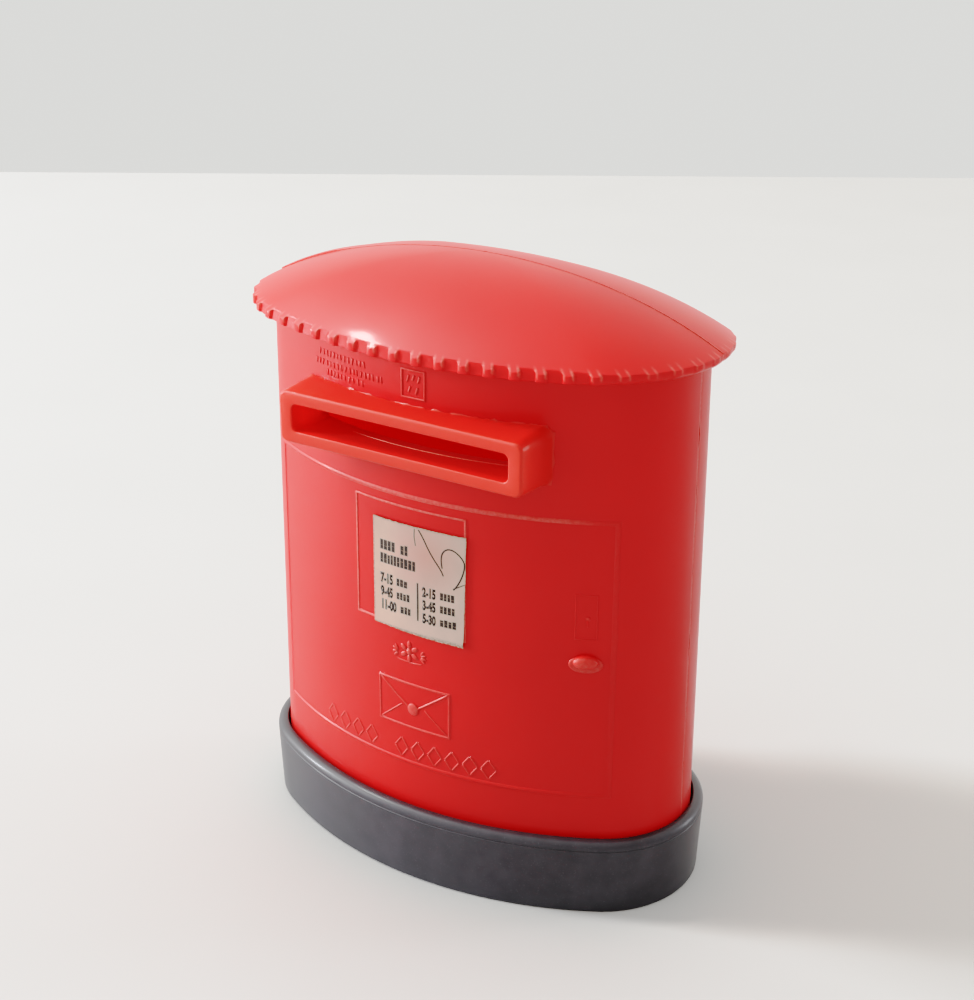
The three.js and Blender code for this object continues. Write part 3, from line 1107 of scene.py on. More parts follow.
@dataclass
class FrontReliefs:
    """The motifs moulded into the front wall, with a painted highlight along their tops."""

    door: tuple[float, float, float, float] = (-35.9 * MM, 35.9 * MM, 22.9 * MM, 76.4 * MM)
    notice_frame: tuple[float, float, float, float] = (-12.8 * MM, 10.8 * MM, 50.6 * MM, 74.0 * MM)
    lock: tuple[float, float, float, float] = (29.1 * MM, 32.9 * MM, 54.1 * MM, 62.8 * MM)
    tab: tuple[float, float, float, float] = (-2 * MM, 3 * MM, 93.5 * MM, 98.7 * MM)
    seed: int = 11

    def door_bead(self) -> bpy.types.Object:
        """The flat bead that outlines the door, with a finer line inside it."""
        bead = frame_plate(self.door, 1.2 * MM, 0.16 * MM, 0.42 * MM)
        obj = lay_on_wall([bead], "door_bead")
        # Painted highlight along the bead's top, in the pale highlight colour.
        mark_points(obj, "highlight_paint", self.bead_highlight)
        return obj

    def bead_highlight(self, index: int, place: Vector) -> float:
        """How much painted highlight the door's bead takes: most along its top, hardly at its sides."""
        top = 0.36 * smooth_step(73 * MM, 75 * MM, place.z) * smooth_step(-26 * MM, -4 * MM, place.x)
        top *= 1 - 0.85 * smooth_step(27 * MM, 33 * MM, place.x)
        return max(0.015, top)

    def paint_highlight(self, obj: bpy.types.Object, share: float) -> bpy.types.Object:
        """Paints a highlight on a motif's tops, by their height above the wall."""
        # Painted highlight: the raised tops take part of the pale highlight colour.
        mark_points(obj, "highlight_paint", lambda index, place: share * smooth_step(
            0.0, 0.08 * MM, WALL.front(place.x, place.z).y - place.y))
        return obj

    def frame_and_lock(self) -> list[bpy.types.Object]:
        """The frame round the notice and the plate of the lock."""
        frame_piece = frame_plate(self.notice_frame, 0.56 * MM, 0.15 * MM, 0.22 * MM)
        lock = frame_plate(self.lock, 0.42 * MM, 0.1 * MM, 0.2 * MM)
        keyhole = dome(31.2 * MM, 58.2 * MM, (0.45 * MM, 0.45 * MM), 0.14 * MM, count=14)
        slot = stroke((31.2 * MM, 57.9 * MM), (31.2 * MM, 56.6 * MM), 0.35 * MM)
        slit = plate(slot, 0.1 * MM, 0.15 * MM)
        return [
            self.paint_highlight(lay_on_wall([frame_piece], "notice_frame"), 0.5),
            self.paint_highlight(lay_on_wall([lock, keyhole, slit], "lock_plate"), 0.2),
        ]

    def knob(self) -> bpy.types.Object:
        """The door knob: an oval pad on a flat skirt."""
        x, z = 31.1 * MM, 49.8 * MM
        skirt = dome(x, z - 0.25 * MM, (2.75 * MM, 1.65 * MM), 0.45 * MM, count=40, fullness=2.2)
        pad = dome(x, z + 0.3 * MM, (2.05 * MM, 1.25 * MM), 1.5 * MM, count=40, fullness=1.5)
        return self.paint_highlight(lay_on_wall([skirt, pad], "door_knob"), 0.24)

    def rosette(self) -> bpy.types.Object:
        """A six-petalled rosette between two small sprigs."""
        middle, z = -0.75 * MM, 46.1 * MM
        parts = [dome(middle, z, (0.65 * MM, 0.65 * MM), 0.28 * MM, count=16)]
        for petal in range(6):
            turn = 60 * petal + 30
            reach = 1.35 * MM
            x = middle + reach * math.cos(math.radians(turn))
            up = reach * math.sin(math.radians(turn))
            parts.append(dome(x, z + up, (0.78 * MM, 0.46 * MM), 0.22 * MM, turn, count=14))
        for side in (-1, 1):
            for leaf in range(4):
                turn = 90 - side * (35 + 32 * leaf)
                x = middle + side * 2.25 * MM + 0.85 * MM * math.cos(math.radians(turn))
                up = -0.5 * MM + 0.95 * MM * math.sin(math.radians(turn))
                parts.append(dome(x, z + up, (0.62 * MM, 0.27 * MM), 0.17 * MM, turn, count=12))
            tie = stroke((middle, z - 2.1 * MM), (middle + side * 2.6 * MM, z - 1.9 * MM), 0.28 * MM)
            parts.append(plate(tie, 0.14 * MM, 0.13 * MM))
        return self.paint_highlight(lay_on_wall(parts, "rosette"), 0.22)

    def envelope(self) -> bpy.types.Object:
        """An outlined envelope with its flap lines and a round seal."""
        left, right, low, high = -7.8 * MM, 7.8 * MM, 30.6 * MM, 40 * MM
        parts = [frame_plate((left, right, low, high), 0.66 * MM, 0.16 * MM, 0.31 * MM)]
        fold = (0, 34.3 * MM)
        for side in (-1, 1):
            corner = (side * 7.3 * MM, 39.5 * MM)
            foot = (side * 7.3 * MM, 31.1 * MM)
            crease = (side * 2.4 * MM, 35.2 * MM)
            parts.append(plate(stroke(corner, fold, 0.6 * MM), 0.15 * MM, 0.28 * MM))
            parts.append(plate(stroke(foot, crease, 0.46 * MM), 0.11 * MM, 0.21 * MM))
        parts.append(dome(0, 34.7 * MM, (1.2 * MM, 1.2 * MM), 0.3 * MM, count=24, fullness=1.3))
        return self.paint_highlight(lay_on_wall(parts, "envelope_emblem"), 0.22)

    def lozenges(self) -> bpy.types.Object:
        """A row of open lozenges in two groups."""
        half_x, half_z, wide, pitch = 1.45 * MM, 1.95 * MM, 0.5 * MM, 3.55
        corners = ((half_x, 0), (0, half_z), (-half_x, 0), (0, -half_z))
        sides = []
        for start, end in zip(corners, corners[1:] + corners[:1]):
            sides.append(plate(stroke(start, end, wide), 0.13 * MM, 0.23 * MM))
        pattern = join(sides, "lozenge")
        places = [-20.4 + pitch * n for n in range(4)] + [-2.6 + pitch * n for n in range(6)]
        row = [copy_piece(pattern, x * MM, 26.3 * MM) for x in places]
        bpy.data.objects.remove(pattern)
        return self.paint_highlight(lay_on_wall(row, "lozenge_row"), 0.24)

    def dashes(self) -> bpy.types.Object:
        """Three rows of small upright dashes above the hood."""
        draw = random.Random(self.seed)
        parts = []
        rows = ((-21.5, -9.5, 97.3), (-22.5, -5.2, 95.5), (-19.5, -9.5, 93.9))
        for left, right, z in rows:
            x = left
            while x < right:
                half = 0.5 * draw.uniform(0.32, 0.55) * MM
                tall = 0.5 * draw.uniform(0.85, 1.15) * MM
                lean = draw.uniform(-0.12, 0.12) * MM
                base, top = (x * MM - lean, z * MM - tall), (x * MM + lean, z * MM + tall)
                parts.append(plate(stroke(base, top, 2 * half), 0.11 * MM, 0.09 * MM))
                x += draw.uniform(0.78, 1.2)
        return self.paint_highlight(lay_on_wall(parts, "upright_dashes"), 0.15)

    def number_tab(self) -> bpy.types.Object:
        """A small framed tab with blunt, half-effaced bars in it."""
        parts = [frame_plate(self.tab, 0.36 * MM, 0.17 * MM, 0.12 * MM)]
        left, right, low, high = self.tab
        bars = (
            (0.28, 0.68, 1.2), (0.5, 0.72, 1.0), (0.72, 0.68, 1.2),
            (0.34, 0.32, 1.1), (0.64, 0.3, 1.2),
        )
        for x, z, tall in bars:
            place = (left + (right - left) * x, low + (high - low) * z)
            end = (place[0] + 0.25 * MM, place[1] + tall * 0.5 * MM)
            start = (place[0] - 0.15 * MM, place[1] - tall * 0.5 * MM)
            parts.append(plate(stroke(start, end, 0.4 * MM), 0.12 * MM, 0.1 * MM))
        return self.paint_highlight(lay_on_wall(parts, "number_tab"), 0.3)

    def build(self) -> list[bpy.types.Object]:
        """Builds every motif."""
        pieces = [self.door_bead(), *self.frame_and_lock(), self.knob(), self.rosette()]
        pieces += [self.envelope(), self.lozenges(), self.dashes(), self.number_tab()]
        return pieces


# ---- The gummed notice ---------------------------------------------------------------


@dataclass
class Notice:
    """The paper notice, gummed over its frame, with printed rows and a pen scrawl."""

    left: float = -8.3 * MM
    right: float = 10.9 * MM
    low: float = 50.2 * MM
    high: float = 70.7 * MM
    thickness: float = 0.14 * MM
    lift: float = 0.2 * MM
    ragged: float = 0.2 * MM
    skew: float = 0.5 * MM
    seed: int = 5

    def surface(self, x: float, z: float) -> float:
        """Height of the paper's face above the wall: it cockles and lifts at a corner."""
        wave = 0.04 * MM * noise.noise(Vector((x * 260, z * 260, self.seed)))
        near_foot = 1 - smooth_step(self.low, 55 * MM, z)
        curl = 0.12 * MM * smooth_step(6 * MM, self.right, x) * near_foot
        return self.lift + self.thickness + wave + curl

    def sheet(self) -> bpy.types.Object:
        """The sheet of paper with its torn edges."""
        deselect_all()
        across, up = 72, 76
        bpy.ops.mesh.primitive_grid_add(x_subdivisions=across, y_subdivisions=up, size=1.0)
        obj = bpy.context.object
        obj.name = "paper_notice"
        for vertex in obj.data.vertices:
            u, v = vertex.co.x + 0.5, vertex.co.y + 0.5
            x = self.left + (self.right - self.left) * u
            z = self.low + (self.high - self.low) * v
            tear_x = self.ragged * abs(noise.noise(Vector((z * 1500, 3.1, self.seed))))
            tear_z = self.ragged * abs(noise.noise(Vector((x * 1500, 8.7, self.seed))))
            if min(u, 1 - u) < 0.001:
                x += tear_x * (0.5 if u < 0.5 else -1)
            if min(v, 1 - v) < 0.001:
                z += tear_z * (1.3 if v < 0.5 else -1.3)
            x -= self.skew * u * (1 - v)
            z -= self.skew * u * (1 - v) ** 2
            vertex.co = (x, z, self.surface(x, z) - self.thickness)
        # Points near the sheet's edges store how much darker the paper is there.
        edge_darkening = []
        for vertex in obj.data.vertices:
            x, z = vertex.co.x, vertex.co.y
            away = min(x - self.left, self.right - x, z - self.low, self.high - z)
            edge_darkening.append(0.8 - 0.8 * smooth_step(0.02 * MM, 0.35 * MM, away))
        mark_points(obj, "edge", lambda index, place: edge_darkening[index])
        wrap(obj)
        add_modifier(obj, "SOLIDIFY", thickness=self.thickness, offset=1.0, use_rim=True)
        smooth(obj, 40)
        return obj

    def bar(self, x: float, z: float, wide: float, tall: float) -> bpy.types.Object:
        """A printed bar: x and z run in millimetres from the sheet's top left corner."""
        left, top = self.left + x * MM, self.high - z * MM
        right, foot = left + wide * MM, top - tall * MM
        outline = ((left, foot), (right, foot), (right, top), (left, top))
        deselect_all()
        bpy.ops.mesh.primitive_circle_add(vertices=4, radius=1.0, fill_type="NGON")
        obj = bpy.context.object
        for vertex, (a, b) in zip(obj.data.vertices, outline):
            vertex.co = (a, b, 0.0)
        return obj

    def word(self, draw: random.Random, x: float, end: float, z: float,
             tall: float) -> list[bpy.types.Object]:
        """A row of plain blocks that stands for a printed word."""
        blocks = []
        slit, space = 0.02, 0.17
        while x < end - 0.3:
            wide = min(draw.uniform(0.5, 0.72), end - x)
            short = draw.choice((0.0, 0.0, 0.0, 0.1)) * tall
            split = draw.uniform(0.3, 0.7) * (tall - short)
            blocks.append(self.bar(x, z + short, wide, split - slit))
            blocks.append(self.bar(x, z + short + split + slit, wide, tall - short - split - slit))
            x += wide + space
        return blocks

    def figures(self, text: str, x: float, z: float, tall: float) -> bpy.types.Object:
        """Plain clock figures, drawn bold and narrow."""
        deselect_all()
        bpy.ops.object.text_add(location=(0, 0, 0))
        obj = bpy.context.object
        obj.data.body = text
        obj.data.size = 1.0
        obj.data.offset = 0.052
        obj.data.resolution_u = 3
        activate(obj)
        bpy.ops.object.convert(target="MESH")
        obj = bpy.context.object
        high = max(v.co.y for v in obj.data.vertices)
        for vertex in obj.data.vertices:
            place = vertex.co * tall * MM / high
            vertex.co = (self.left + x * MM + place.x * 0.6, self.high - (z + tall) * MM + place.y, 0.0)
        return obj

    def print_flat(self, pieces: Sequence[bpy.types.Object], name: str) -> bpy.types.Object:
        """Joins flat ink shapes, gives them a film's thickness and lays them on the paper."""
        film = 0.02 * MM
        obj = join(pieces, name)
        cut_across(obj, 1.2 * MM)
        edit_all(obj)
        bpy.ops.mesh.extrude_region_move(TRANSFORM_OT_translate={"value": (0, 0, 2 * film)})
        close_edit()
        for vertex in obj.data.vertices:
            vertex.co.z += self.surface(vertex.co.x, vertex.co.y) - film
        wrap(obj)
        return obj

    def printing(self) -> bpy.types.Object:
        """The printed heading, rows and divider."""
        draw = random.Random(self.seed)
        parts = self.word(draw, 1.6, 5.2, 4.1, 1.85) + self.word(draw, 6.1, 8.0, 4.1, 1.85)
        parts += self.word(draw, 1.6, 9.2, 6.65, 1.85)
        rows = (
            ("7-15", 1.6, 10.4, 5.2, 7.6), ("9-45", 1.6, 12.95, 5.2, 7.9),
            ("11-00", 1.6, 15.5, 6.0, 8.3), ("2-15", 10.6, 10.9, 14.2, 17.3),
            ("3-45", 10.6, 13.4, 14.2, 17.3), ("5-30", 10.6, 15.95, 14.2, 17.3),
        )
        for figures, x, z, start, end in rows:
            parts.append(self.figures(figures, x, z, 1.85))
            parts += self.word(draw, start, end, z + 0.35, 1.4)
        parts.append(self.bar(9.5, 10.5, 0.3, 7.3))
        return self.print_flat(parts, "notice_printing")

    def pen_line(self, points: Sequence[tuple[float, float]], radius: float) -> bpy.types.Object:
        """One stroke of a pen over the paper, in millimetres from its top left corner."""
        deselect_all()
        bpy.ops.curve.primitive_nurbs_path_add()
        obj = bpy.context.object
        spline = obj.data.splines[0]
        spline.points.add(len(points) - len(spline.points))
        for point, (x, z) in zip(spline.points, points):
            point.co = (self.left + x * MM, self.high - z * MM, 0, 1)
        spline.order_u = 4
        spline.use_endpoint_u = True
        obj.data.resolution_u = 8
        obj.data.bevel_depth = radius * MM
        obj.data.bevel_resolution = 2
        obj.data.use_fill_caps = True
        activate(obj)
        bpy.ops.object.convert(target="MESH")
        obj = bpy.context.object
        for vertex in obj.data.vertices:
            vertex.co.z = vertex.co.z * 0.3 + self.surface(vertex.co.x, vertex.co.y)
        return obj

    def scrawl(self) -> bpy.types.Object:
        """A scrawl in thin pen at the top right."""
        strokes = (
            ((9.1, 0.4), (9.0, 1.2), (9.0, 2.0), (9.15, 2.8), (9.3, 3.5)),
            ((9.9, 0.4), (10.8, 1.6), (11.6, 3.2), (12.9, 5.2), (14.1, 6.6), (14.7, 7.6), (14.8, 8.0)),
            ((14.6, 6.6), (14.2, 4.6), (14.9, 3.0), (16.3, 2.6), (17.6, 3.2), (18.6, 4.2), (19.0, 5.2),
             (18.5, 7.2), (17.9, 8.6), (17.3, 9.6), (16.8, 10.2)),
            ((16.7, 10.0), (17.2, 9.8), (17.7, 9.5), (18.3, 9.1), (18.9, 8.8)),
        )
        lines = [self.pen_line(points, 0.14 if len(points) > 5 else 0.09) for points in strokes]
        obj = join(lines, "pen_scrawl")
        wrap(obj)
        smooth(obj, 60)
        return obj

    def build(self) -> tuple[bpy.types.Object, list[bpy.types.Object]]:
        """Builds the sheet and what is on it.

        Returns:
            The sheet, and the ink pieces.
        """
        return self.sheet(), [self.printing(), self.scrawl()]


# ---- Finishes -----------------------------------------------------------------------


def linear(hex_colour: str) -> tuple[float, float, float, float]:
    """Turns an sRGB hex colour into linear light."""
    channels = [int(hex_colour[i:i + 2], 16) / 255 for i in (1, 3, 5)]
    return (*[c / 12.92 if c <= 0.04045 else ((c + 0.055) / 1.055) ** 2.4 for c in channels], 1.0)


def add_node(tree: bpy.types.NodeTree, kind: str, inputs: dict[str | int, object] | None = None,
             **settings: object) -> bpy.types.Node:
    """Adds a node with its settings and links.

    Args:
        tree: The material's node tree.
        kind: The node's type.
        inputs: Socket names or numbers, each with a value or an output socket to link.
        **settings: Values for the node's properties.

    Returns:
        The node.
    """
    node = tree.nodes.new(kind)
    for key, value in settings.items():
        setattr(node, key, value)
    for key, value in (inputs or {}).items():
        if isinstance(value, bpy.types.NodeSocket):
            tree.links.new(value, node.inputs[key])
        else:
            node.inputs[key].default_value = value
    return node


@dataclass
class Recipe:
    """A material's node tree, with the few steps that every finish repeats."""

    material: bpy.types.Material
    tree: bpy.types.NodeTree
    where: bpy.types.NodeSocket

    def pattern(self, size_mm: float, detail: float,
                place: bpy.types.NodeSocket | None = None) -> bpy.types.NodeSocket:
        """Adds noise whose grain has a real size."""
        return add_node(self.tree, "ShaderNodeTexNoise", {
            "Vector": place or self.where, "Scale": 1000 / size_mm, "Detail": detail}).outputs["Fac"]

    def mapped(self, value: bpy.types.NodeSocket, low: float, high: float,
               start: float, end: float) -> bpy.types.NodeSocket:
        """Maps a value's range from low and high onto start and end."""
        return add_node(self.tree, "ShaderNodeMapRange", {
            0: value, 1: low, 2: high, 3: start, 4: end}).outputs[0]

    def mixed(self, share: bpy.types.NodeSocket, first: object, second: str) -> bpy.types.NodeSocket:
        """Mixes a colour, given as hex or as a socket, with a second one."""
        start = linear(first) if isinstance(first, str) else first
        return add_node(self.tree, "ShaderNodeMix", {
            0: share, 6: start, 7: linear(second)}, data_type="RGBA").outputs[2]

    def maths(self, first: bpy.types.NodeSocket, second: bpy.types.NodeSocket,
              operation: str) -> bpy.types.NodeSocket:
        """Combines two values."""
        return add_node(self.tree, "ShaderNodeMath", {
            0: first, 1: second}, operation=operation).outputs[0]

    def stored(self, name: str) -> bpy.types.NodeSocket:
        """Reads a number that mark_points stored on the mesh."""
        return add_node(self.tree, "ShaderNodeAttribute", attribute_name=name).outputs["Fac"]

    def bump(self, height: bpy.types.NodeSocket, strength: float, depth: float,
             normal: bpy.types.NodeSocket | None = None) -> bpy.types.NodeSocket:
        """Adds a bump with a real depth, on top of another one if given."""
        inputs = {"Height": height, "Strength": strength, "Distance": depth}
        if normal:
            inputs["Normal"] = normal
        return add_node(self.tree, "ShaderNodeBump", inputs).outputs[0]

    def principled(self, inputs: dict[str | int, object]) -> bpy.types.NodeSocket:
        """Adds the main shader."""
        return add_node(self.tree, "ShaderNodeBsdfPrincipled", inputs).outputs[0]

    def finish(self, surface: bpy.types.NodeSocket) -> bpy.types.Material:
        """Links the surface and hands the material over."""
        add_node(self.tree, "ShaderNodeOutputMaterial", {"Surface": surface})
        return self.material


def new_material(name: str) -> Recipe:
    """Starts a material with an empty tree and its Object coordinates."""
    material = bpy.data.materials.new(name)
    material.use_nodes = True
    tree = material.node_tree
    tree.nodes.clear()
    return Recipe(material, tree, add_node(tree, "ShaderNodeTexCoord").outputs["Object"])


@dataclass(frozen=True)
class MouldedPlastic:
    """Injection-moulded styrene: semi-gloss, coloured through, a little translucent.

    Light enters the colour and comes out again near thin edges, broad window light
    lies on it as a soft haze, and the mould's texture and handling break up the gloss.
    """

    name: str
    colour: str
    deep_colour: str
    # Pale colour painted on as a highlight where a piece marks its points for it.
    highlight_colour: str
    glow_colour: str = "#FF5A4E"
    bloom_colour: str = "#FFE9E4"
    roughness: float = 0.5
    translucency: float = 0.32
    inner_translucency: float = 0.5
    cloud_mm: float = 22.0
    ripple_mm: float = 1.6
    scratch_mm: float = 0.5
    scratch_stretch: float = 0.14
    fleck_mm: float = 0.55
    specular: float = 0.62
    bloom: float = 0.075
    coat: float = 0.24

    def build(self) -> bpy.types.Material:
        """Builds the material's nodes."""
        recipe = new_material(self.name)
        cloud = recipe.pattern(self.cloud_mm, 3.0)
        tint = recipe.mixed(recipe.mapped(cloud, 0.2, 0.8, 0.0, 1.0), self.colour, self.deep_colour)
        fleck = recipe.mapped(recipe.pattern(self.fleck_mm, 4.0), 0.36, 0.66, 0.45, 1.0)
        # Painted highlight: where a piece marks it, a flecked pale colour is mixed into the red.
        highlight_share = recipe.maths(recipe.stored("highlight_paint"), fleck, "MULTIPLY")
        highlit = recipe.mixed(highlight_share, tint, self.highlight_colour)
        stretch = add_node(recipe.tree, "ShaderNodeMapping", {
            "Vector": recipe.where, "Scale": (1.0, 1.0, self.scratch_stretch)})
        scratch = recipe.pattern(self.scratch_mm, 2.0, stretch.outputs[0])
        gloss = recipe.mapped(cloud, 0.2, 0.8, self.roughness - 0.05, self.roughness + 0.05)
        coarse = recipe.bump(recipe.pattern(self.ripple_mm, 2.0), 0.12, 0.1 * MM)
        fine = recipe.bump(scratch, 0.08, 0.05 * MM, coarse)
        shader = recipe.principled({
            "Base Color": highlit, "Roughness": gloss, "Normal": fine,
            "IOR": 1.5, "Specular IOR Level": self.specular,
            "Sheen Weight": self.bloom, "Sheen Roughness": 0.4, "Sheen Tint": linear(self.bloom_colour),
            "Coat Weight": self.coat, "Coat Roughness": 0.1})
        through = add_node(recipe.tree, "ShaderNodeBsdfTranslucent", {"Color": linear(self.glow_colour)})
        inside = recipe.stored("inside")
        share = recipe.mapped(inside, 0.0, 1.0, self.translucency, self.inner_translucency)
        both = add_node(recipe.tree, "ShaderNodeMixShader", {0: share, 1: shader, 2: through.outputs[0]})
        return recipe.finish(both.outputs[0])


@dataclass(frozen=True)
class TrayPlastic:
    """Moulded styrene in black: satin, greyed in patches by fine dust."""

    name: str = "tray_moulded_plastic"
    colour: str = "#2D2D32"
    dust_colour: str = "#68646A"
    roughness: float = 0.5
    dust_mm: float = 3.0
    grain_mm: float = 0.3

    def build(self) -> bpy.types.Material:
        """Builds the material's nodes."""
        recipe = new_material(self.name)
        patch = recipe.pattern(self.dust_mm, 5.0)
        grain = recipe.pattern(self.grain_mm, 2.0)
        film = recipe.mapped(patch, 0.3, 0.75, 0.03, 0.13)
        dust = recipe.maths(film, recipe.mapped(grain, 0.62, 0.75, 0.0, 0.2), "ADD")
        gloss = recipe.mapped(dust, 0.0, 0.4, self.roughness - 0.06, self.roughness + 0.16)
        return recipe.finish(recipe.principled({
            "Base Color": recipe.mixed(dust, self.colour, self.dust_colour), "Roughness": gloss,
            "Normal": recipe.bump(grain, 0.15, 0.04 * MM), "IOR": 1.5, "Specular IOR Level": 0.4,
            "Coat Weight": 0.2, "Coat Roughness": 0.18}))


@dataclass(frozen=True)
class AgedPaper:
    """Uncoated paper gone brown: dry and fibrous, pinker in one patch and darker at its edges."""

    name: str = "aged_uncoated_paper"
    colour: str = "#C4AC9B"
    shade_colour: str = "#B09683"
    pink_patch_colour: str = "#B88373"
    edge_colour: str = "#6B4632"
    pink_patch_place: tuple[float, float, float] = (3.2 * MM, -23.6 * MM, 65.6 * MM)
    pink_patch_reach: float = 9.0 * MM
    fibre_mm: float = 0.35
    mottle_mm: float = 5.0

    def build(self) -> bpy.types.Material:
        """Builds the material's nodes."""
        recipe = new_material(self.name)
        base = recipe.mixed(recipe.pattern(self.mottle_mm, 5.0), self.colour, self.shade_colour)
        fibre = recipe.pattern(self.fibre_mm, 4.0)
        away = add_node(recipe.tree, "ShaderNodeVectorMath", {
            0: recipe.where, 1: self.pink_patch_place}, operation="DISTANCE").outputs["Value"]
        # A pinker patch near the sheet's upper left, fading out with distance.
        pink_patch = recipe.mapped(away, 0.6 * MM, self.pink_patch_reach, 1.0, 0.0)
        patched = recipe.mixed(pink_patch, base, self.pink_patch_colour)
        patchy = recipe.mapped(fibre, 0.38, 0.6, 0.15, 1.0)
        # Darker towards the sheet's edges, in patches.
        edge_darkening = recipe.maths(recipe.stored("edge"), patchy, "MULTIPLY")
        return recipe.finish(recipe.principled({
            "Base Color": recipe.mixed(edge_darkening, patched, self.edge_colour), "Roughness": 0.85,
            "Normal": recipe.bump(fibre, 0.35, 0.05 * MM), "IOR": 1.45}))


@dataclass(frozen=True)
class PrintingInk:
    """Letterpress ink on dry paper: near black, sunk in unevenly."""

    name: str = "printing_ink"
    colour: str = "#1E1513"
    thin_colour: str = "#46372F"
    patch_mm: float = 0.5

    def build(self) -> bpy.types.Material:
        """Builds the material's nodes."""
        recipe = new_material(self.name)
        share = recipe.mapped(recipe.pattern(self.patch_mm, 3.0), 0.45, 0.75, 0.0, 0.7)
        tint = recipe.mixed(share, self.colour, self.thin_colour)
        return recipe.finish(recipe.principled({"Base Color": tint, "Roughness": 0.65}))


@dataclass(frozen=True)
class PaleTable:
    """Painted board: matt, near white, faintly mottled."""

    name: str = "painted_board"
    colour: str = "#C9CAC9"
    shade_colour: str = "#C5C6C5"
    mottle_mm: float = 60.0

    def build(self) -> bpy.types.Material:
        """Builds the material's nodes."""
        recipe = new_material(self.name)
        tint = recipe.mixed(recipe.pattern(self.mottle_mm, 3.0), self.colour, self.shade_colour)
        return recipe.finish(recipe.principled({
            "Base Color": tint, "Roughness": 0.7, "Specular IOR Level": 0.12}))


def mark_points(obj: bpy.types.Object, name: str, share: Callable[[int, Vector], float]) -> None:
    """Stores a number at every point of a mesh, for its finish to read.

    Args:
        obj: The piece.
        name: The attribute's name.
        share: Gives the number from a point's index and place.
    """
    layer = obj.data.attributes.new(name, "FLOAT", "POINT")
    for index, vertex in enumerate(obj.data.vertices):
        layer.data[index].value = share(index, vertex.co)


# ---- Camera, light and table -----------------------------------------------------


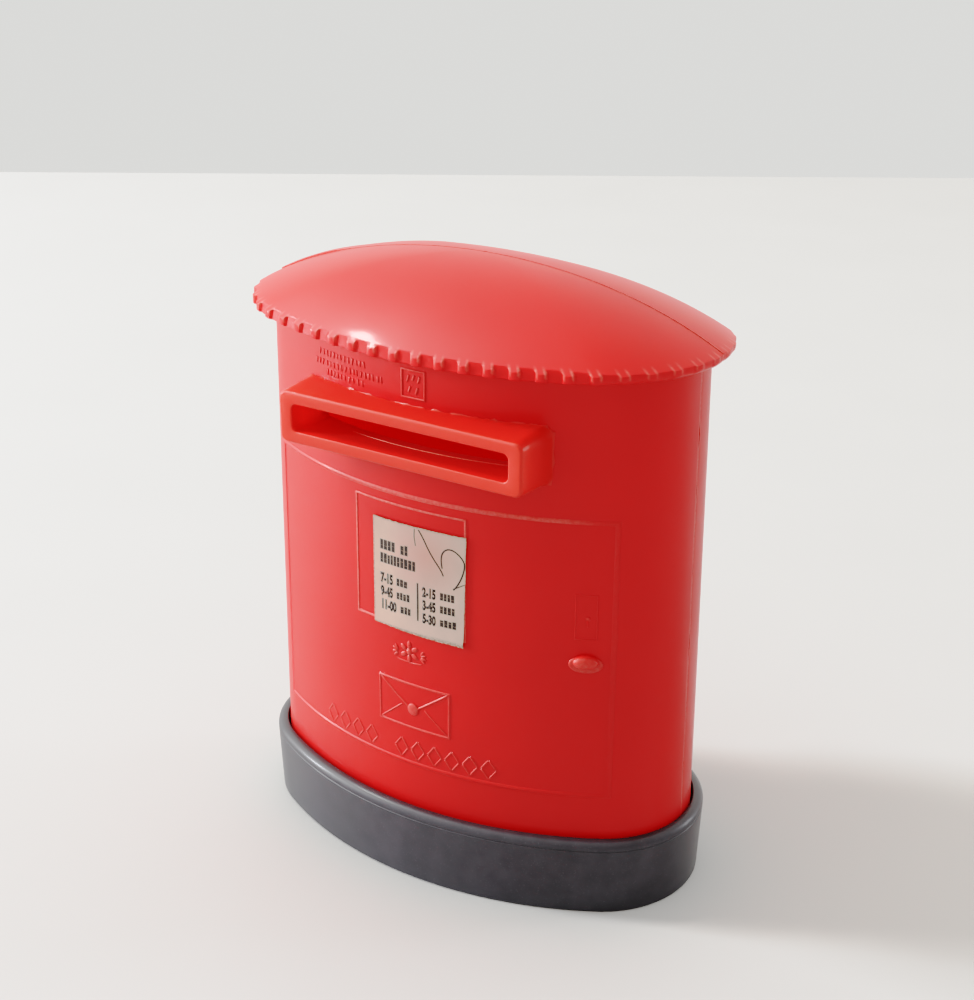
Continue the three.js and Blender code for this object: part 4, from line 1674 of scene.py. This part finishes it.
@dataclass(frozen=True)
class Studio:
    """Camera, lights and the pale table that the box stands on."""

    position: tuple[float, float, float] = (150.6 * MM, -235.3 * MM, 184.84 * MM)
    azimuth: float = 30.023
    elevation: float = 22.745
    roll: float = 1.253
    lens: float = 59.507
    shift: tuple[float, float] = (-0.067, -0.00176)
    aim: tuple[float, float, float] = (0.0, 0.0, 0.055)
    wall_colour: str = "#D4D4D2"
    room_colour: str = "#FFFAF4"
    bright_side: tuple[float, float, float] = (-0.78, 0.42, 0.46)
    tone: tuple[tuple[float, float], ...] = (
        (0.02, 0.008), (0.035, 0.019), (0.06, 0.066), (0.1, 0.162),
        (0.17, 0.29), (0.46, 0.51), (0.75, 0.775))
    tone_end: tuple[float, float] = (1.0, 0.89)
    room_dim: float = 0.49
    room_bright: float = 1.3

    def camera(self) -> None:
        """Adds the camera and makes it the scene's."""
        turn = math.radians(self.azimuth)
        tilt = math.radians(self.elevation)
        back = Vector((math.sin(turn) * math.cos(tilt), -math.cos(turn) * math.cos(tilt), math.sin(tilt)))
        right = Vector((math.cos(turn), math.sin(turn), 0))
        axes = Matrix((right, back.cross(right), back)).transposed()
        spin = Matrix.Rotation(math.radians(self.roll), 3, "Z")
        bpy.ops.object.camera_add(location=self.position, rotation=(axes @ spin).to_euler())
        camera = bpy.context.object
        camera.name = "camera"
        camera.data.lens = self.lens
        camera.data.sensor_width = 36
        camera.data.shift_x, camera.data.shift_y = self.shift
        camera.data.clip_start = 0.01
        bpy.context.scene.camera = camera

    def light(self, name: str, towards: tuple[float, float, float], distance: float,
              size: tuple[float, float], power: float, colour: str) -> None:
        """Adds an oblong soft light that looks at the box.

        Args:
            name: The light's name.
            towards: Direction of the light from the box.
            distance: Its distance from the box.
            size: Its width and height.
            power: Its power in watts.
            colour: Its colour.
        """
        direction = Vector(towards).normalized()
        place = Vector(self.aim) + direction * distance
        spin = direction.to_track_quat("Z", "Y").to_euler()
        bpy.ops.object.light_add(type="AREA", location=place, rotation=spin)
        lamp = bpy.context.object
        lamp.name = name
        lamp.data.shape = "RECTANGLE"
        lamp.data.size, lamp.data.size_y = size
        lamp.data.energy = power
        lamp.data.color = linear(colour)[:3]

    def table(self) -> None:
        """Adds the table top, whose far edge stands against the pale wall."""
        deselect_all()
        bpy.ops.mesh.primitive_plane_add(size=1.0)
        floor = bpy.context.object
        floor.name = "table_top"
        along = Vector((0.826, 0.564, 0)).normalized()
        across = Vector((-along.y, along.x, 0))
        far_edge = Vector((-0.329, 0.5154, -0.02 * MM))
        middle, half_length, full_depth = 1.0, 3.0, 2.6
        for vertex in floor.data.vertices:
            depth = 0.0 if vertex.co.y > 0 else full_depth
            place = middle + math.copysign(half_length, vertex.co.x)
            vertex.co = far_edge + along * place - across * depth
        floor.data.materials.append(PaleTable().build())

    def world(self) -> None:
        """Sets the pale surroundings: the wall that is seen and the room that lights the box."""
        world = bpy.data.worlds.new("pale_room")
        world.use_nodes = True
        tree = world.node_tree
        tree.nodes.clear()
        seen = add_node(tree, "ShaderNodeBackground", {
            "Color": linear(self.wall_colour), "Strength": 1.0})
        place = add_node(tree, "ShaderNodeTexCoord")
        towards = Vector(self.bright_side).normalized()
        facing = add_node(tree, "ShaderNodeVectorMath", {
            0: place.outputs["Generated"], 1: towards}, operation="DOT_PRODUCT")
        share = add_node(tree, "ShaderNodeMapRange", {
            0: facing.outputs["Value"], 1: -0.6, 2: 1.0, 3: self.room_dim, 4: self.room_bright})
        felt = add_node(tree, "ShaderNodeBackground", {
            "Color": linear(self.room_colour), "Strength": share.outputs[0]})
        path = add_node(tree, "ShaderNodeLightPath")
        both = add_node(tree, "ShaderNodeMixShader", {
            0: path.outputs["Is Camera Ray"], 1: felt.outputs[0], 2: seen.outputs[0]})
        add_node(tree, "ShaderNodeOutputWorld", {"Surface": both.outputs[0]})
        bpy.context.scene.world = world

    def tone_curve(self) -> None:
        """Sets how light is shown: a soft toe, lifted lower tones and a gentle shoulder."""
        view = bpy.context.scene.view_settings
        view.view_transform = "Standard"
        view.use_curve_mapping = True
        curve = view.curve_mapping.curves[3]
        curve.points[-1].location = self.tone_end
        for light, shown in self.tone:
            curve.points.new(light, shown)
        view.curve_mapping.update()

    def build(self) -> None:
        """Sets the whole scene."""
        self.camera()
        self.world()
        self.tone_curve()
        self.table()
        self.light("window", (-0.91, -0.38, 0.24), 1.5, (0.2, 0.6), 20.0, "#F6F9FF")
        self.light("skylight", (-0.63, -0.238, 0.74), 1.5, (0.22, 0.09), 6.5, "#FFFFFF")
        self.light("far_window", (0.72, 0.66, 0.2), 1.2, (0.3, 0.5), 2.5, "#F4F8FF")


def dress(piece: bpy.types.Object, material: bpy.types.Material, body: Body) -> None:
    """Gives a piece its finish, body and material slot, and reports it."""
    piece.data.materials.clear()
    piece.data.materials.append(material)
    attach(piece, body.value)
    LOG.info("%s: %d faces on %s", piece.name, len(piece.data.polygons), body.value)


def main() -> None:
    """Builds every piece in order and reports it."""
    logging.basicConfig(level=logging.INFO, format="%(message)s")
    Studio().build()
    # The last colour of each plastic is its painted highlight colour.
    red = MouldedPlastic("red_moulded_plastic", "#E00D08", "#D60A06", "#F08A80").build()
    hood_red = MouldedPlastic(
        "hood_moulded_plastic", "#E2301F", "#DA2A19", "#FF8A78", glow_colour="#FF7C74").build()
    black, paper, ink = TrayPlastic().build(), AgedPaper().build(), PrintingInk().build()

    roof = OvalPlan(46 * MM, 25.1 * MM, 21 * MM)
    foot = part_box("front_shell")[0][2]
    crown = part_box("back_shell")[1][2]
    slot_hole = (22.9 * MM, 83.6 * MM, 90.7 * MM)
    front = ShellHalf(Side.FRONT, roof, foot, crown - 0.07 * MM, slot_hole=slot_hole)
    back = ShellHalf(Side.BACK, roof, foot, crown, end_lift=1.85 * MM, end_step=0.3 * MM, seed=8)
    front_piece = front.build()
    dress(front_piece, red, Body.BOX)
    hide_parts("front_shell")
    back_piece = back.build()
    lip = SeamLip(back).build()
    back_piece = join([back_piece, lip], back_piece.name)
    dress(back_piece, red, Body.BOX)
    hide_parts("back_shell")

    hood = LetterHood().build()
    dress(hood, hood_red, Body.BOX)
    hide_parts("letter_hood")

    for relief in FrontReliefs().build():
        dress(relief, red, Body.BOX)

    sheet, inks = Notice().build()
    dress(sheet, paper, Body.BOX)
    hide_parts("notice_label")
    for piece in inks:
        dress(piece, ink, Body.BOX)

    tray = Plinth().build()
    dress(tray, black, Body.BASE)
    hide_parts("plinth")


if __name__ == "__main__":
    main()
